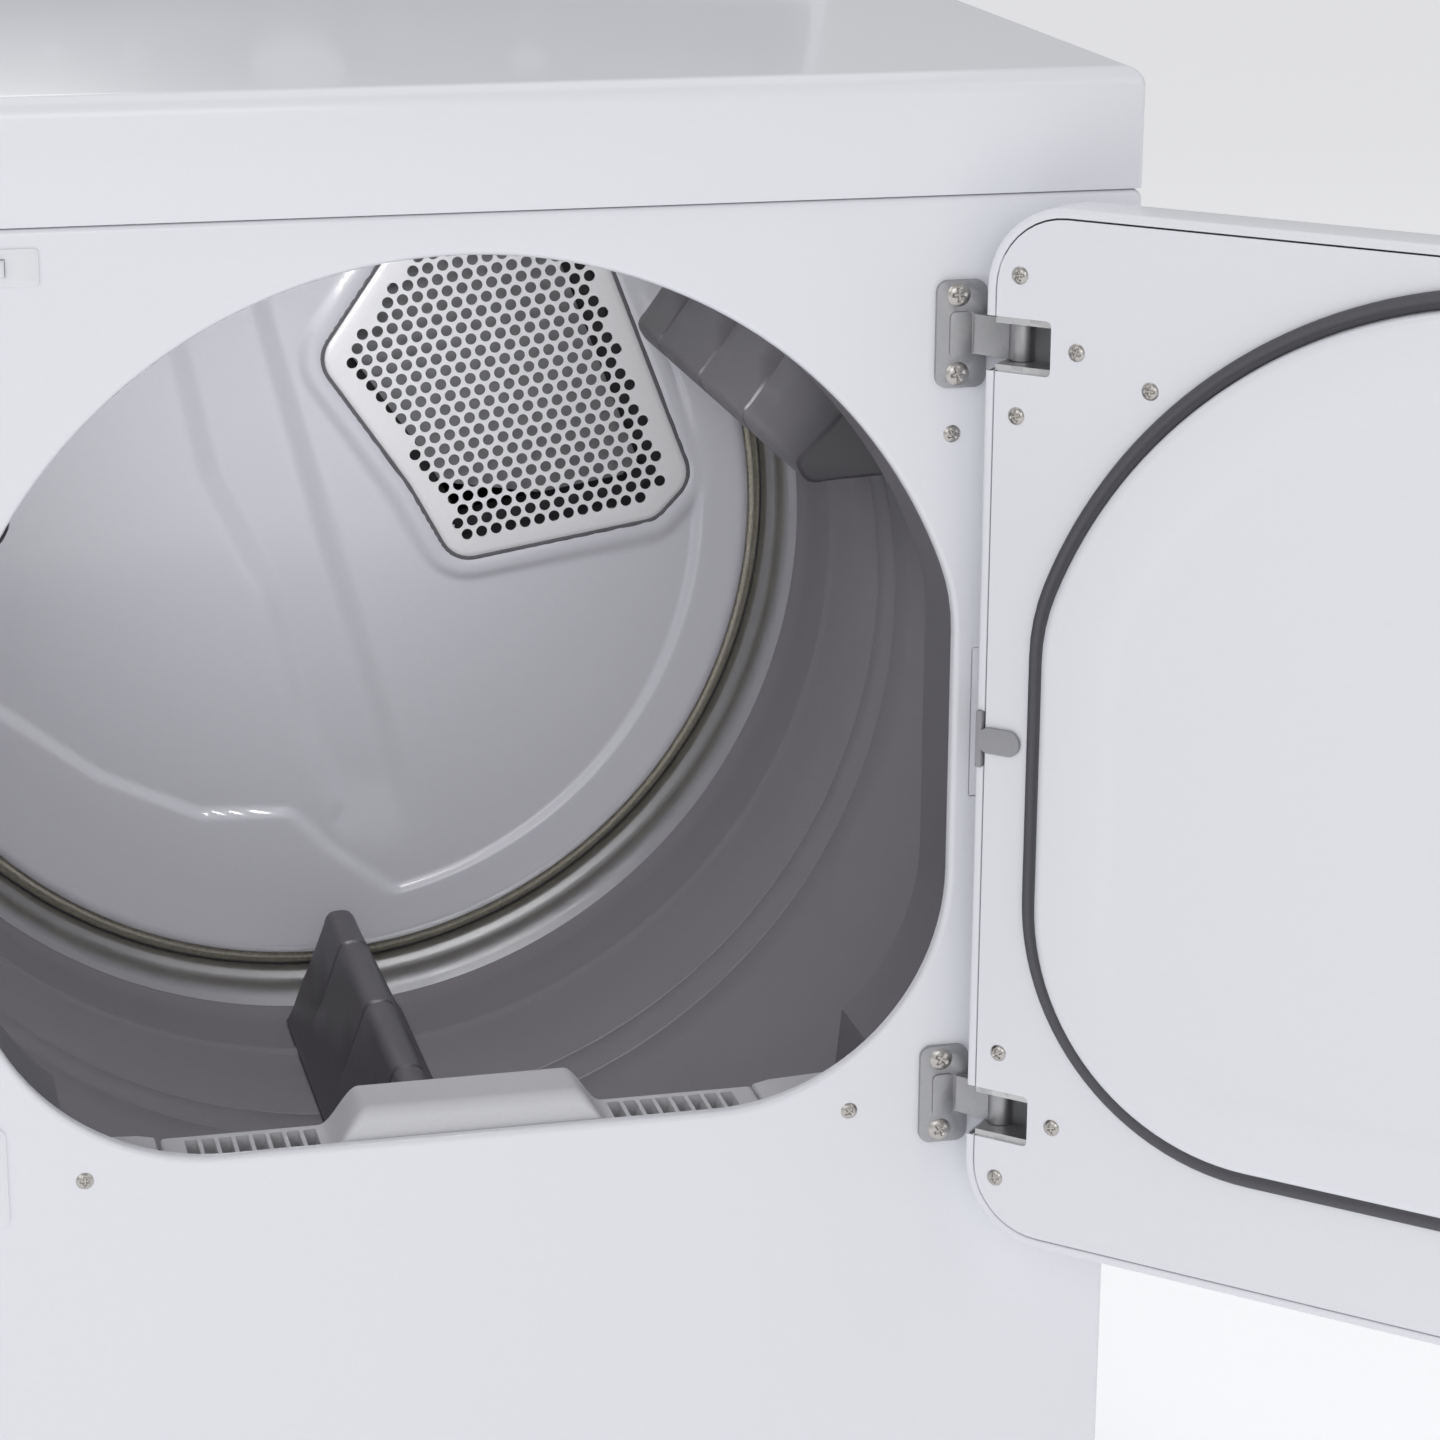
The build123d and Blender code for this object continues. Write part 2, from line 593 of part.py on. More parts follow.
def lint_housing():
    wall = 1.6
    half = FILTER_HALF + 2.2
    y = (FRONT + 14.6, FRONT + 51.6)
    shell = block((-half, half), y, (HOUSING_FLOOR, FILTER_TOP - 10.5))
    shell = shell - block((-half + wall, half - wall), (y[0] + wall, y[1] - wall),
                          (HOUSING_FLOOR + wall, FILTER_TOP))
    shell = shell - block((DUCT_X[0] + 4, DUCT_X[1] - 4), (y[0] + 4, y[1] - 4),
                          (HOUSING_FLOOR - 5, HOUSING_FLOOR + 5))
    for sign in (-1, 1):
        top = [(sign * x, z) for x, z in LEDGE]
        under = [(x, z - 14) for x, z in reversed(top)]
        shell = shell + slab(make_face(Polyline(*top, *under, close=True)), y)
        web = sorted((sign * (half - wall), sign * (LEDGE[0][0] + 0.5)))
        shell = shell + block(web, y, (FILTER_TOP - 12, FILTER_TOP))
    keep("lint_housing", shell)


def lint_duct():
    wall = 1.5
    y = (FRONT + 16, FRONT + 50)
    z = (86.0, HOUSING_FLOOR - 0.2)
    duct = block(DUCT_X, y, z)
    duct = duct - block((DUCT_X[0] + wall, DUCT_X[1] - wall), (y[0] + wall, y[1] - wall),
                        (z[0] + wall, z[1] + 1))
    duct = duct - rod_y(MOTOR_X, MOTOR_Z, 46, (y[1] - 3, y[1] + 3))
    keep("lint_duct", duct)


def blower():
    """Scroll housing with an outlet box, and the wheel that turns in it."""
    wall = 2.0
    y = BLOWER_Y
    inner_y = (y[0] + wall, y[1] - wall)
    box_x = (MOTOR_X, PIPE_X + PIPE_R + 6)
    box_z = (MOTOR_Z - BLOWER_R, PIPE_Z + PIPE_R + 4)
    outer = rod_y(MOTOR_X, MOTOR_Z, BLOWER_R, y) + block(box_x, y, box_z)
    inner = rod_y(MOTOR_X, MOTOR_Z, BLOWER_R - wall, inner_y)
    inner = inner + block((box_x[0], box_x[1] - wall), inner_y, (box_z[0] + wall, box_z[1] - wall))
    housing = outer - inner
    housing = housing - rod_y(MOTOR_X, MOTOR_Z, 46, (y[0] - 1, y[0] + 3))
    housing = housing - rod_y(MOTOR_X, MOTOR_Z, 14, (y[1] - 3, y[1] + 1))
    housing = housing - rod_y(PIPE_X, PIPE_Z, PIPE_R - 1, (y[1] - 3, y[1] + 1))
    keep("blower_housing", housing)
    hub_y = (y[0] + 12, y[1] - 8)
    wheel = rod_y(MOTOR_X, MOTOR_Z, 74, (hub_y[1] - 3, hub_y[1]))
    wheel = wheel + rod_y(MOTOR_X, MOTOR_Z, 13, hub_y)
    wheel = wheel + tube_y(MOTOR_X, MOTOR_Z, 74, 58, (hub_y[0], hub_y[0] + 3))
    blade = block((MOTOR_X + 59, MOTOR_X + 73), (hub_y[0] + 2, hub_y[1] - 2), (MOTOR_Z - 1, MOTOR_Z + 1))
    for index in range(20):
        wheel = wheel + blade.rotate(Axis((MOTOR_X, 0, MOTOR_Z), (0, 1, 0)), 18 * index)
    wheel = wheel - rod_y(MOTOR_X, MOTOR_Z, SHAFT_R, (hub_y[0] - 1, hub_y[1] + 1))
    keep("blower_wheel", wheel)


def exhaust():
    pipe = tube_y(PIPE_X, PIPE_Z, PIPE_R, PIPE_R - 0.8, (BLOWER_Y[1] + 0.1, PIPE_OUT))
    flange = tube_y(PIPE_X, PIPE_Z, PIPE_R + 8, PIPE_R - 0.8, (BACK, BACK + SHEET))
    keep("exhaust_duct", pipe + flange)


def heater():
    """Sheet box behind the air inlet, open to it and at its foot, with its coils."""
    y = (WALL_PLATE + SHEET + 0.3, BACK - SHEET - 14)
    box = block(HEATER_X, y, HEATER_Z)
    inside = block((HEATER_X[0] + SHEET, HEATER_X[1] - SHEET), (y[0] - 1, y[1] - SHEET),
                   (HEATER_Z[0] - 1, HEATER_Z[1] - SHEET))
    keep("heater_housing", box - inside)
    coils = []
    middle = (y[0] + y[1]) / 2
    for level in range(4):
        z = HEATER_Z[0] + 40 + 34 * level
        spring = block((HEATER_X[0] + 22, HEATER_X[1] - 22), (middle - 6, middle + 6), (z - 6, z + 6))
        spring = fillet(spring.edges().filter_by(Axis.X), 5.5)
        ends = block((HEATER_X[0] + SHEET, HEATER_X[0] + 22), (middle - 3, middle + 3), (z - 3, z + 3))
        ends = ends + block((HEATER_X[1] - 22, HEATER_X[1] - SHEET), (middle - 3, middle + 3), (z - 3, z + 3))
        coils.append(spring + ends)
    group("heater_coils", coils)
    discs = []
    for z in (600, 700):
        base = block((HEATER_X[0] - 1.6, HEATER_X[0]), (middle - 18, middle + 18), (z - 14, z + 14))
        can = Pos(HEATER_X[0] - 7.6, middle, z) * Rot(0, 90, 0) * Cylinder(11, 12)
        discs.append(base + can)
    group("thermostats", discs)


# ================= drive =================

def belt_outline(extra):
    """Hull of the drum's and the motor pulley's circles."""
    big = Pos(0, DRUM_Z) * Circle(DRUM_R + DRUM_T + BELT_AIR + extra)
    small = Pos(MOTOR_X, MOTOR_Z) * Circle(PULLEY_R + BELT_AIR + extra)
    return make_hull(big.edges() + small.edges())


def idler_centre():
    """Idler centre, just outside the belt's right-hand run."""
    reach = math.hypot(MOTOR_X, DRUM_Z - MOTOR_Z)
    tilt = math.atan2(-MOTOR_X, DRUM_Z - MOTOR_Z)
    spread = math.asin((DRUM_R + DRUM_T - PULLEY_R) / reach)
    run = (math.sin(tilt + spread), math.cos(tilt + spread))
    out = (run[1], -run[0])
    away = PULLEY_R + BELT_AIR + BELT_T + GAP + IDLER_R
    along = 90.0
    return (MOTOR_X + run[0] * along + out[0] * away, MOTOR_Z + run[1] * along + out[1] * away)


def drive():
    belt = slab(belt_outline(BELT_T) - belt_outline(0.0), BELT_Y)
    keep("drive_belt", belt)
    y = (BELT_Y[0] - 130, BELT_Y[0] - 10)
    body = rod_y(MOTOR_X, MOTOR_Z, MOTOR_R, y)
    body = fillet(body.edges(), 6)
    body = body + rod_y(MOTOR_X, MOTOR_Z, 24, (y[0] - 5, y[1] + 5))
    body = body - rod_y(MOTOR_X, MOTOR_Z, SHAFT_R + 0.4, (y[0] - 10, y[1] + 10))
    keep("motor", body)
    shaft = rod_y(MOTOR_X, MOTOR_Z, SHAFT_R, (BLOWER_Y[0] + 10, BELT_Y[1] + 6))
    pulley = rod_y(MOTOR_X, MOTOR_Z, PULLEY_R, BELT_Y)
    for edge in ((BELT_Y[0] - 3, BELT_Y[0] - 0.4), (BELT_Y[1] + 0.4, BELT_Y[1] + 3)):
        pulley = pulley + rod_y(MOTOR_X, MOTOR_Z, PULLEY_R + 5, edge)
    pulley = pulley + rod_y(MOTOR_X, MOTOR_Z, PULLEY_R - 2, (BELT_Y[0] - 3, BELT_Y[1] + 3))
    keep("motor_shaft", shaft + pulley)
    motor_bracket(y)
    idler()


def motor_bracket(y):
    low = BASE_Z + SHEET
    plate = block((-180, -20), (y[0] - 8, BELT_Y[1] + 30), (low, low + 2.5))
    bracket = plate
    for edge in ((y[0] - 4, y[0] - 1.5), (y[1] + 1.5, y[1] + 4)):
        ear = block((MOTOR_X - 45, MOTOR_X + 45), edge, (low, MOTOR_Z + 4))
        ear = ear + rod_y(MOTOR_X, MOTOR_Z, 34, edge)
        bracket = bracket + ear
    bracket = bracket - rod_y(MOTOR_X, MOTOR_Z, 24.2, (y[0] - 9, y[1] + 9))
    post = block((IDLER_PIVOT[0] - 14, IDLER_PIVOT[0] + 14), (BELT_Y[1] + 24, BELT_Y[1] + 26.5),
                 (low, IDLER_PIVOT[1] + 14))
    pin = rod_y(IDLER_PIVOT[0], IDLER_PIVOT[1], 5.0, (BELT_Y[1] + 6, BELT_Y[1] + 25))
    keep("motor_bracket", bracket + post + pin)


def idler():
    x, z = idler_centre()
    px, pz = IDLER_PIVOT
    y = (BELT_Y[1] + 8, BELT_Y[1] + 12)
    bar = slab(make_hull((Pos(x, z) * Circle(10)).edges() + (Pos(px, pz) * Circle(12)).edges()), y)
    hub = rod_y(px, pz, 9, (y[0], y[1] + 8))
    pin = rod_y(x, z, 4.0, (BELT_Y[0] - 2, y[1]))
    collar = rod_y(x, z, 6.5, (BELT_Y[1] + 2.4, y[0] + 1))
    arm = bar + hub + pin + collar
    arm = arm - rod_y(px, pz, 5.0 + RUNNING, (y[0] - 3, y[1] + 12))
    keep("idler_arm", arm)
    wheel = rod_y(x, z, IDLER_R, BELT_Y) - rod_y(x, z, 4.0 + RUNNING, (BELT_Y[0] - 1, BELT_Y[1] + 1))
    for edge in ((BELT_Y[0] - 1, BELT_Y[0] + 5), (BELT_Y[1] - 5, BELT_Y[1] + 1)):
        wheel = wheel - tube_y(x, z, IDLER_R - 4, 8, edge)
    keep("idler_pulley", wheel)


# ================= hinges and latch =================

def hinge_plates():
    """Die-cast plates screwed to the front panel, each with an arm out to the hinge line."""
    solids = []
    for z in HINGE_Z:
        plate = slab(rounded(26, 54, 6, 249.5, z), (FRONT - 3, FRONT))
        boss = slab(rounded(11, 23, 3, 248.6, z), (FRONT - 4.4, FRONT - 1.5))
        bar = make_face(Polyline((254.5, FRONT - 2.0), (260.0, FRONT - 0.9), (277.5, HINGE_Y + 2.5),
                                 (272.5, HINGE_Y - 2.5), close=True))
        bar = Pos(0, 0, z - 10) * extrude(bar, 20)
        eye = rod_z(HINGE_X, HINGE_Y, 6.5, (z - 10, z + 10))
        piece = plate + boss + bar + eye
        piece = piece - rod_z(HINGE_X, HINGE_Y, PIN_R + RUNNING, (z - 12, z + 12))
        for x, screw_z in HINGE_SCREWS:
            piece = piece - rod_y(x, screw_z, 2.6, (FRONT - 6, FRONT + 1))
        solids.append(piece)
    group("hinge_plates", solids)


def hinge_leaves():
    """Door half of each hinge: a plate behind the inner panel with two ears round the pin."""
    solids = []
    pins = []
    y = (DOOR_IN - SHEET - 2.5, DOOR_IN - SHEET)
    for z in HINGE_Z:
        plate = block((224, 281), y, (z - 44, z + 44))
        plate = plate - block((NOTCH_X, 300), (y[0] - 1, y[1] + 1), (z - 10.3, z + 10.3))
        leaf = plate
        for low in (z - 13.3, z + 10.3):
            ear = block((NOTCH_X - 1.5, 282), (HINGE_Y - 2, y[1]), (low, low + 3))
            ear = ear + rod_z(HINGE_X, HINGE_Y, 7, (low, low + 3))
            leaf = leaf + ear
        leaf = leaf + block((NOTCH_X - 1.5, NOTCH_X), (HINGE_Y - 2, y[1]), (z - 13.3, z + 13.3))
        leaf = leaf - rod_z(HINGE_X, HINGE_Y, PIN_R, (z - 20, z + 20))
        for x, rise in hinge_screw_places():
            leaf = leaf - rod_y(x, z + rise, SCREW_R, (y[0] - 1, y[1] + 1))
        solids.append(leaf)
        pins.append(rod_z(HINGE_X, HINGE_Y, PIN_R, (z - 13.5, z + 13.5)))
    group("hinge_leaves", [swing(s) for s in solids])
    group("hinge_pins", [swing(s) for s in pins])


def hinge_screw_places():
    """(x, rise) of the door screws round one hinge."""
    edge = DOOR_HALF
    return ((edge - 17.7, -34.9), (edge - 17.7, 34.9), (edge - 49.2, 0.0))


def latch():
    """Catch behind the left slot, and the plate that fills the other slot."""
    z = (DOOR_Z - CATCH_SLOT[1] / 2 + 0.3, DOOR_Z + CATCH_SLOT[1] / 2 - 0.3)
    half = CATCH_SLOT[0] / 2 - 0.3
    body = block((-CATCH_X - half, -CATCH_X + half), (FRONT + 0.3, FRONT + 26), z)
    body = body - block((-CATCH_X - 4.5, -CATCH_X + 4.5), (FRONT - 1, FRONT + 22), (DOOR_Z - 16, DOOR_Z + 16))
    keep("latch_catch", body)
    covers = [block((CATCH_X - half, CATCH_X + half), (FRONT + 0.6, FRONT + 4), z)]
    for height in HINGE_Z:
        covers.append(slab(rounded(26, 54, 6, -249.5, height), (FRONT - 1.2, FRONT)))
    group("hole_covers", covers)
    x, zz = SWITCH_AT
    bezel = slab(rounded(SWITCH_BEZEL[0], SWITCH_BEZEL[1], 2, x, zz), (FRONT - 1.0, FRONT))
    body = block((x - 18, x + 18), (FRONT, FRONT + 24), (zz - 6.5, zz + 6.5))
    bore = block((x - 6.3, x + 6.3), (FRONT - 2, FRONT + 18), (zz - 4.3, zz + 4.3))
    keep("door_switch", bezel + body - bore)
    plunger = block((x - 6, x + 6), (FRONT - 4.4, FRONT + 10), (zz - 4, zz + 4))
    plunger = fillet(plunger.edges().group_by(Axis.Y)[0], 2)
    keep("switch_plunger", plunger)


# ================= door =================

def door_face(inset, radius):
    return rounded(2 * (DOOR_HALF - inset), DOOR_H - 2 * inset, radius, 0, DOOR_Z)


def door_shell():
    """Outer skin with its rim turned in round the inner panel."""
    body = slab(door_face(0, DOOR_R), (DOOR_OUT, DOOR_IN))
    body = fillet(body.edges().group_by(Axis.Y)[0], 10)
    hollow = slab(door_face(DOOR_SHEET, DOOR_R - DOOR_SHEET),
                  (DOOR_OUT + DOOR_SHEET, DOOR_IN - SHEET))
    hollow = fillet(hollow.edges().group_by(Axis.Y)[0], 8.5)
    body = body - hollow - slab(door_face(RIM, DOOR_R - RIM), (DOOR_IN - SHEET - 1, DOOR_IN + 1))
    for z in HINGE_Z:
        body = body - block((270, 300), (DOOR_IN - 24, DOOR_IN + 1), (z - NOTCH_HALF, z + NOTCH_HALF))
    body = body - block((DOOR_HALF - RIM, 300), (DOOR_IN - 16, DOOR_IN + 1), (DOOR_Z - 15, DOOR_Z + 15))
    grip = block((GRIP[0] - GRIP[2] / 2, GRIP[0] + GRIP[2] / 2), (DOOR_OUT - 1, DOOR_OUT + 5),
                 (DOOR_Z - GRIP[1] / 2, DOOR_Z + GRIP[1] / 2))
    keep("door_shell", swing(body - grip))
    cup = slab(rounded(GRIP[2] - 0.4, GRIP[1] - 0.4, 4, GRIP[0], DOOR_Z), (DOOR_OUT, DOOR_OUT + 20))
    cup = cup - slab(rounded(GRIP[2] - 3.6, GRIP[1] - 3.6, 3, GRIP[0], DOOR_Z),
                     (DOOR_OUT - 1, DOOR_OUT + 18.4))
    keep("door_grip", swing(cup))


def door_panel():
    """Inner panel with the raised pad that fills the opening, notched at both hinges."""
    panel = slab(door_face(RIM + 0.15, DOOR_R - RIM), (DOOR_IN - SHEET, DOOR_IN))
    pad = slab(opening_face(-PLATEAU_INSET), (DOOR_IN - SHEET, DOOR_IN + PLATEAU_H))
    pad = fillet(pad.edges().group_by(Axis.Y)[-1], 6)
    pit = slab(opening_face(-PLATEAU_INSET - SHEET), (DOOR_IN - SHEET - 1, DOOR_IN + PLATEAU_H - SHEET))
    pit = fillet(pit.edges().group_by(Axis.Y)[-1], 5)
    panel = panel + pad - pit
    for z in HINGE_Z:
        panel = panel - block((NOTCH_X, 300), (DOOR_IN - 5, DOOR_IN + 1), (z - NOTCH_HALF, z + NOTCH_HALF))
    for x, z in door_screw_places():
        panel = panel - rod_y(x, z, SCREW_R + 0.1, (DOOR_IN - 5, DOOR_IN + 1))
    keep("door_inner_panel", swing(panel))


def door_screw_places():
    """All screws on the door's inner face, in the closed position."""
    places = []
    for z in HINGE_Z:
        places += [(x, z + rise) for x, rise in hinge_screw_places()]
    places += [(198.3, DOOR_Z + 188.4), (-198.3, DOOR_Z + 188.4)]
    for sign in (-1, 1):
        places.append((-269.3, DOOR_Z + sign * 168.0))
        places.append((-269.3, DOOR_Z + sign * 238.0))
    return places


def door_trim():
    seal_face = opening_face(SEAL_OUT) - opening_face(-PLATEAU_INSET + 0.2)
    seal = slab(seal_face, (DOOR_IN + 0.05, DOOR_IN + SEAL_H))
    seal = fillet(seal.edges().group_by(Axis.Y)[-1], 1.6)
    keep("door_seal", swing(seal))
    screw = pan_screw(SCREW_HEAD_R, SCREW_HEAD_H, SCREW_R, 9)
    screws = [swing(facing_back(x, DOOR_IN, z, screw)) for x, z in door_screw_places()]
    group("door_screws", screws)
    foot = block((-CATCH_X - 14, -CATCH_X + 10), (DOOR_IN, DOOR_IN + 1.5), (DOOR_Z - 24, DOOR_Z + 24))
    tongue = block((-CATCH_X - 1.5, -CATCH_X + 1.5), (DOOR_IN, DOOR_IN + 20), (DOOR_Z - 9, DOOR_Z + 9))
    tongue = tongue - Pos(-CATCH_X, DOOR_IN + 13, DOOR_Z) * Box(10, 6, 10)
    keep("door_strike", swing(foot + tongue))
    stem = slab(rounded(23.4, 13.5, 6.5, DOOR_HALF - 13.7, DOOR_Z), (DOOR_IN + 0.05, DOOR_IN + 2.4))
    bar = block((DOOR_HALF - 4.2, DOOR_HALF - 1.0), (DOOR_IN - 12, DOOR_IN + 2.4),
                (DOOR_Z - 14.8, DOOR_Z + 14.8))
    keep("door_blank", swing(stem + bar))


# ================= fasteners =================

def fasteners():
    big = pan_screw(HINGE_HEAD_R, HINGE_HEAD_H, 2.4, 9)
    group("hinge_screws", [facing_front(x, FRONT - 3, z, big) for x, z in HINGE_SCREWS])
    small = pan_screw(SCREW_HEAD_R, SCREW_HEAD_H, SCREW_R, 8)
    screws = [facing_front(x, FRONT, z, small) for x, z in PANEL_SCREWS]
    screws += [facing_back(x, BACK, z, small) for x, z in BACK_SCREWS]
    screws += [facing_back(x, BACK + SHEET, z, small) for x, z in COVER_SCREWS]
    group("cabinet_screws", screws)


def main():
    base_pan()
    side_panel("side_panel_left", -1)
    side_panel("side_panel_right", 1)
    front_panel()
    top_cover()
    back_panel()
    terminals()
    feet()
    console()
    controls()
    front_bulkhead()
    seals()
    rear_bulkhead()
    rear_grille()
    rollers()
    drum()
    lint_parts()
    lint_duct()
    blower()
    exhaust()
    heater()
    drive()
    hinge_plates()
    hinge_leaves()
    latch()
    door_shell()
    door_panel()
    door_trim()
    fasteners()
    os.makedirs("parts", exist_ok=True)
    for name, shape in ALL.items():
        export_step(shape, "parts/%s.step" % name)
    print(len(ALL), "nodes; idler at", idler_centre(), "rollers", roller_centres())


main()
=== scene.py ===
# %% [markdown]
# # A clothes dryer with its door open
# The machine is a sheet-steel cabinet with a round-topped opening, a charcoal drum that turns behind
# it, and a door on two die-cast hinges. The first cell brings in the working model, so every piece
# below is made where that model already has it, in metres, and takes over its place with a better
# surface. Nothing here moves a part: a piece only rides on the body that carries it.

# %% Load the working model
import json
import math

import bmesh
import bpy
from mathutils import Euler, Matrix, Vector
from mathutils.geometry import delaunay_2d_cdt


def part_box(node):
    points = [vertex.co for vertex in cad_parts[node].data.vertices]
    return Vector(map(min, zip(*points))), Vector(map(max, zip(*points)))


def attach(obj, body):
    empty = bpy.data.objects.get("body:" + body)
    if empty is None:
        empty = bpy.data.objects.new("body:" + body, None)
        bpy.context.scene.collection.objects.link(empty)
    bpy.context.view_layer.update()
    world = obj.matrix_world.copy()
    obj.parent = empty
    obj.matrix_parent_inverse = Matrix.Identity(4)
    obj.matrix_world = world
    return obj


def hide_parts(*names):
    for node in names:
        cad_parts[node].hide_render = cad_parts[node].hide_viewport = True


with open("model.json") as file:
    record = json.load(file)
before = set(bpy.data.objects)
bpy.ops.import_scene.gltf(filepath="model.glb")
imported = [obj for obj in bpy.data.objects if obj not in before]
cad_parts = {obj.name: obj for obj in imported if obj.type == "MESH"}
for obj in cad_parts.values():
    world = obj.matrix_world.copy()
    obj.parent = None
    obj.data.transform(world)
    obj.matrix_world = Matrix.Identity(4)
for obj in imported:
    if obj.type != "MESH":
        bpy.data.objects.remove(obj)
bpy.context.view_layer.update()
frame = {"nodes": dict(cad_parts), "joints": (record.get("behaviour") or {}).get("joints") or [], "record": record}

# %% [markdown]
# ## Sizes
# The working model is drawn in millimetres, and people think of sheet metal that way too, so the
# sizes below are millimetres and one factor turns them into Blender's metres. Where a size can be
# read from a part's box, it is read from there.

# %% Driving sizes
MM = 0.001
panel_low, panel_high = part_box("front_panel")
FRONT = panel_low.y / MM
SIDE = panel_high.x / MM
PANEL_FOOT = panel_low.z / MM
PANEL_HEAD = panel_high.z / MM

OPEN_R = 261.0
OPEN_CZ = 644.0
OPEN_HALF = 250.3
OPEN_BOTTOM = 450.7
OPEN_CORNER = 123.4
OPEN_SHOULDER = 100.0
DRUM_Z = 627.0
DRUM_R = 321.0
WALL_FACE = FRONT + 590.0
WALL_R = 293.0

door_joint = [j for j in frame["joints"] if j["name"] == "door_swing"][0]
HINGE_X = door_joint["pos_m"][0] / MM
HINGE_Y = door_joint["pos_m"][1] / MM
DOOR_Z = door_joint["pos_m"][2] / MM
REST_OPEN = -door_joint["range_deg"][0]
DOOR_HALF = 287.0
DOOR_H = 545.0
DOOR_R = 42.0
DOOR_RIM = 4.7
DOOR_IN = FRONT - 5.0
HINGE_RISE = 203.0
HINGE_Z = (DOOR_Z - HINGE_RISE, DOOR_Z + HINGE_RISE)
PAD_H = 11.0
PAD_INSET = 2.0
NOTCH_X = 251.7
NOTCH_HALF = 13.8
SHEET = 1.2
print("front", FRONT, "side", SIDE, "door open by", REST_OPEN, "degrees")

# %% [markdown]
# ## Two small helpers
# Objects have to be linked before they show, and node trees are built from many small steps. One
# helper for each keeps the cells below about the dryer instead.

# %% Objects and nodes


def link_object(name, data):
    """A new object in the scene."""
    thing = bpy.data.objects.new(name, data)
    bpy.context.scene.collection.objects.link(thing)
    return thing


def add_node(tree, kind, inputs=None, **settings):
    """Add a node with its settings; each input takes a plain value or another node's output."""
    made = tree.nodes.new(kind)
    for key, value in settings.items():
        setattr(made, key, value)
    for socket, value in (inputs or {}).items():
        if isinstance(value, bpy.types.NodeSocket):
            tree.links.new(value, made.inputs[socket])
        else:
            made.inputs[socket].default_value = value
    return made


print("helpers ready")

# %% [markdown]
# ## Camera
# The camera comes first, so that every later cell can be judged through it. It is a longish lens
# standing a little to the left of the door, above it, and looking down and to the right.

# %% Camera
CAMERA_PLACE = (-0.3162, -2.1489, 1.2342)
LENS = 96.2
TURN_RIGHT = 13.866
TILT_DOWN = 17.094
CAMERA_ROLL = 0.296
camera_data = bpy.data.cameras.new("camera")
camera_data.sensor_width = 36.0
camera_data.lens = LENS
camera_data.clip_start = 0.05
camera_data.clip_end = 80
camera = link_object("camera", camera_data)
aim = Euler((math.radians(90 - TILT_DOWN), 0, math.radians(-TURN_RIGHT))).to_matrix()
aim = aim @ Matrix.Rotation(math.radians(CAMERA_ROLL), 3, "Z")
camera.matrix_world = Matrix.Translation(CAMERA_PLACE) @ aim.to_4x4()
bpy.context.scene.camera = camera
print("camera lens", camera_data.lens)

# %% [markdown]
# ## Studio
# White enamel shows the room more than itself. A plain pale floor, an even pale sky and a few big
# soft lamps give it broad quiet gradients, and one small lamp just inside the opening lights the drum.

# %% Floor, sky and lamps
world = bpy.data.worlds.new("studio")
world.use_nodes = True
bpy.context.scene.world = world
tree = world.node_tree
sky = tree.nodes["Background"]
sky.inputs["Color"].default_value = (0.975, 0.975, 1.0, 1)
sky.inputs["Strength"].default_value = 0.47
seen_sky = add_node(tree, "ShaderNodeBackground", {"Color": (1, 1, 1, 1)})
which = add_node(tree, "ShaderNodeLightPath")
blend = add_node(tree, "ShaderNodeMixShader", {
    "Fac": which.outputs["Is Camera Ray"], 1: sky.outputs[0], 2: seen_sky.outputs[0]})
tree.links.new(blend.outputs[0], tree.nodes["World Output"].inputs["Surface"])
bpy.context.scene.view_settings.view_transform = "Standard"


def soft_lamp(name, place, target, width, height, watts):
    """A big rectangular lamp that points at a target, in metres."""
    data = bpy.data.lights.new(name, "AREA")
    data.shape = "RECTANGLE"
    data.size = width
    data.size_y = height
    data.energy = watts
    lamp = link_object(name, data)
    lamp.location = place
    direction = Vector(target) - Vector(place)
    lamp.rotation_euler = direction.to_track_quat("-Z", "Y").to_euler()
    return lamp


soft_lamp("lamp_left", (-2.6, -2.4, 2.5), (0, 0, 0.6), 2.2, 2.2, 19)
soft_lamp("lamp_right", (2.6, -2.6, 2.2), (0.2, -0.2, 0.6), 1.8, 2.2, 11)
soft_lamp("lamp_front", (-0.5, -3.4, 1.6), (0, 0.2, 0.65), 1.6, 1.4, 13)
soft_lamp("lamp_top", (0, 0.4, 3.4), (0, 0, 0), 2.6, 2.6, 19)
soft_lamp("lamp_back", (-1.0, 3.4, 2.2), (0, 0, 0.5), 2.4, 2.0, 22)
drum_lamp = soft_lamp("lamp_drum", (-0.06, -0.15, 0.90), (0.02, 0.16, 0.50), 0.30, 0.08, 1.75)
drum_lamp.data.spread = math.radians(135)

# %% [markdown]
# ## Effects shared by several finishes
# Paint, plastic and sheet all have a fine unevenness that breaks up reflections. Each effect is one
# node group with named sockets, made once: speckle for moulded grain and powder coat, streaks for
# rolled or brushed metal, and spangle for zinc crystals on galvanised sheet.

# %% Speckle, streaks and spangle
FLOAT = "NodeSocketFloat"
VECTOR = "NodeSocketVector"
SHARED = [("Vector", VECTOR, None), ("Scale", FLOAT, 400.0), ("Low", FLOAT, 0.3), ("High", FLOAT, 0.4)]


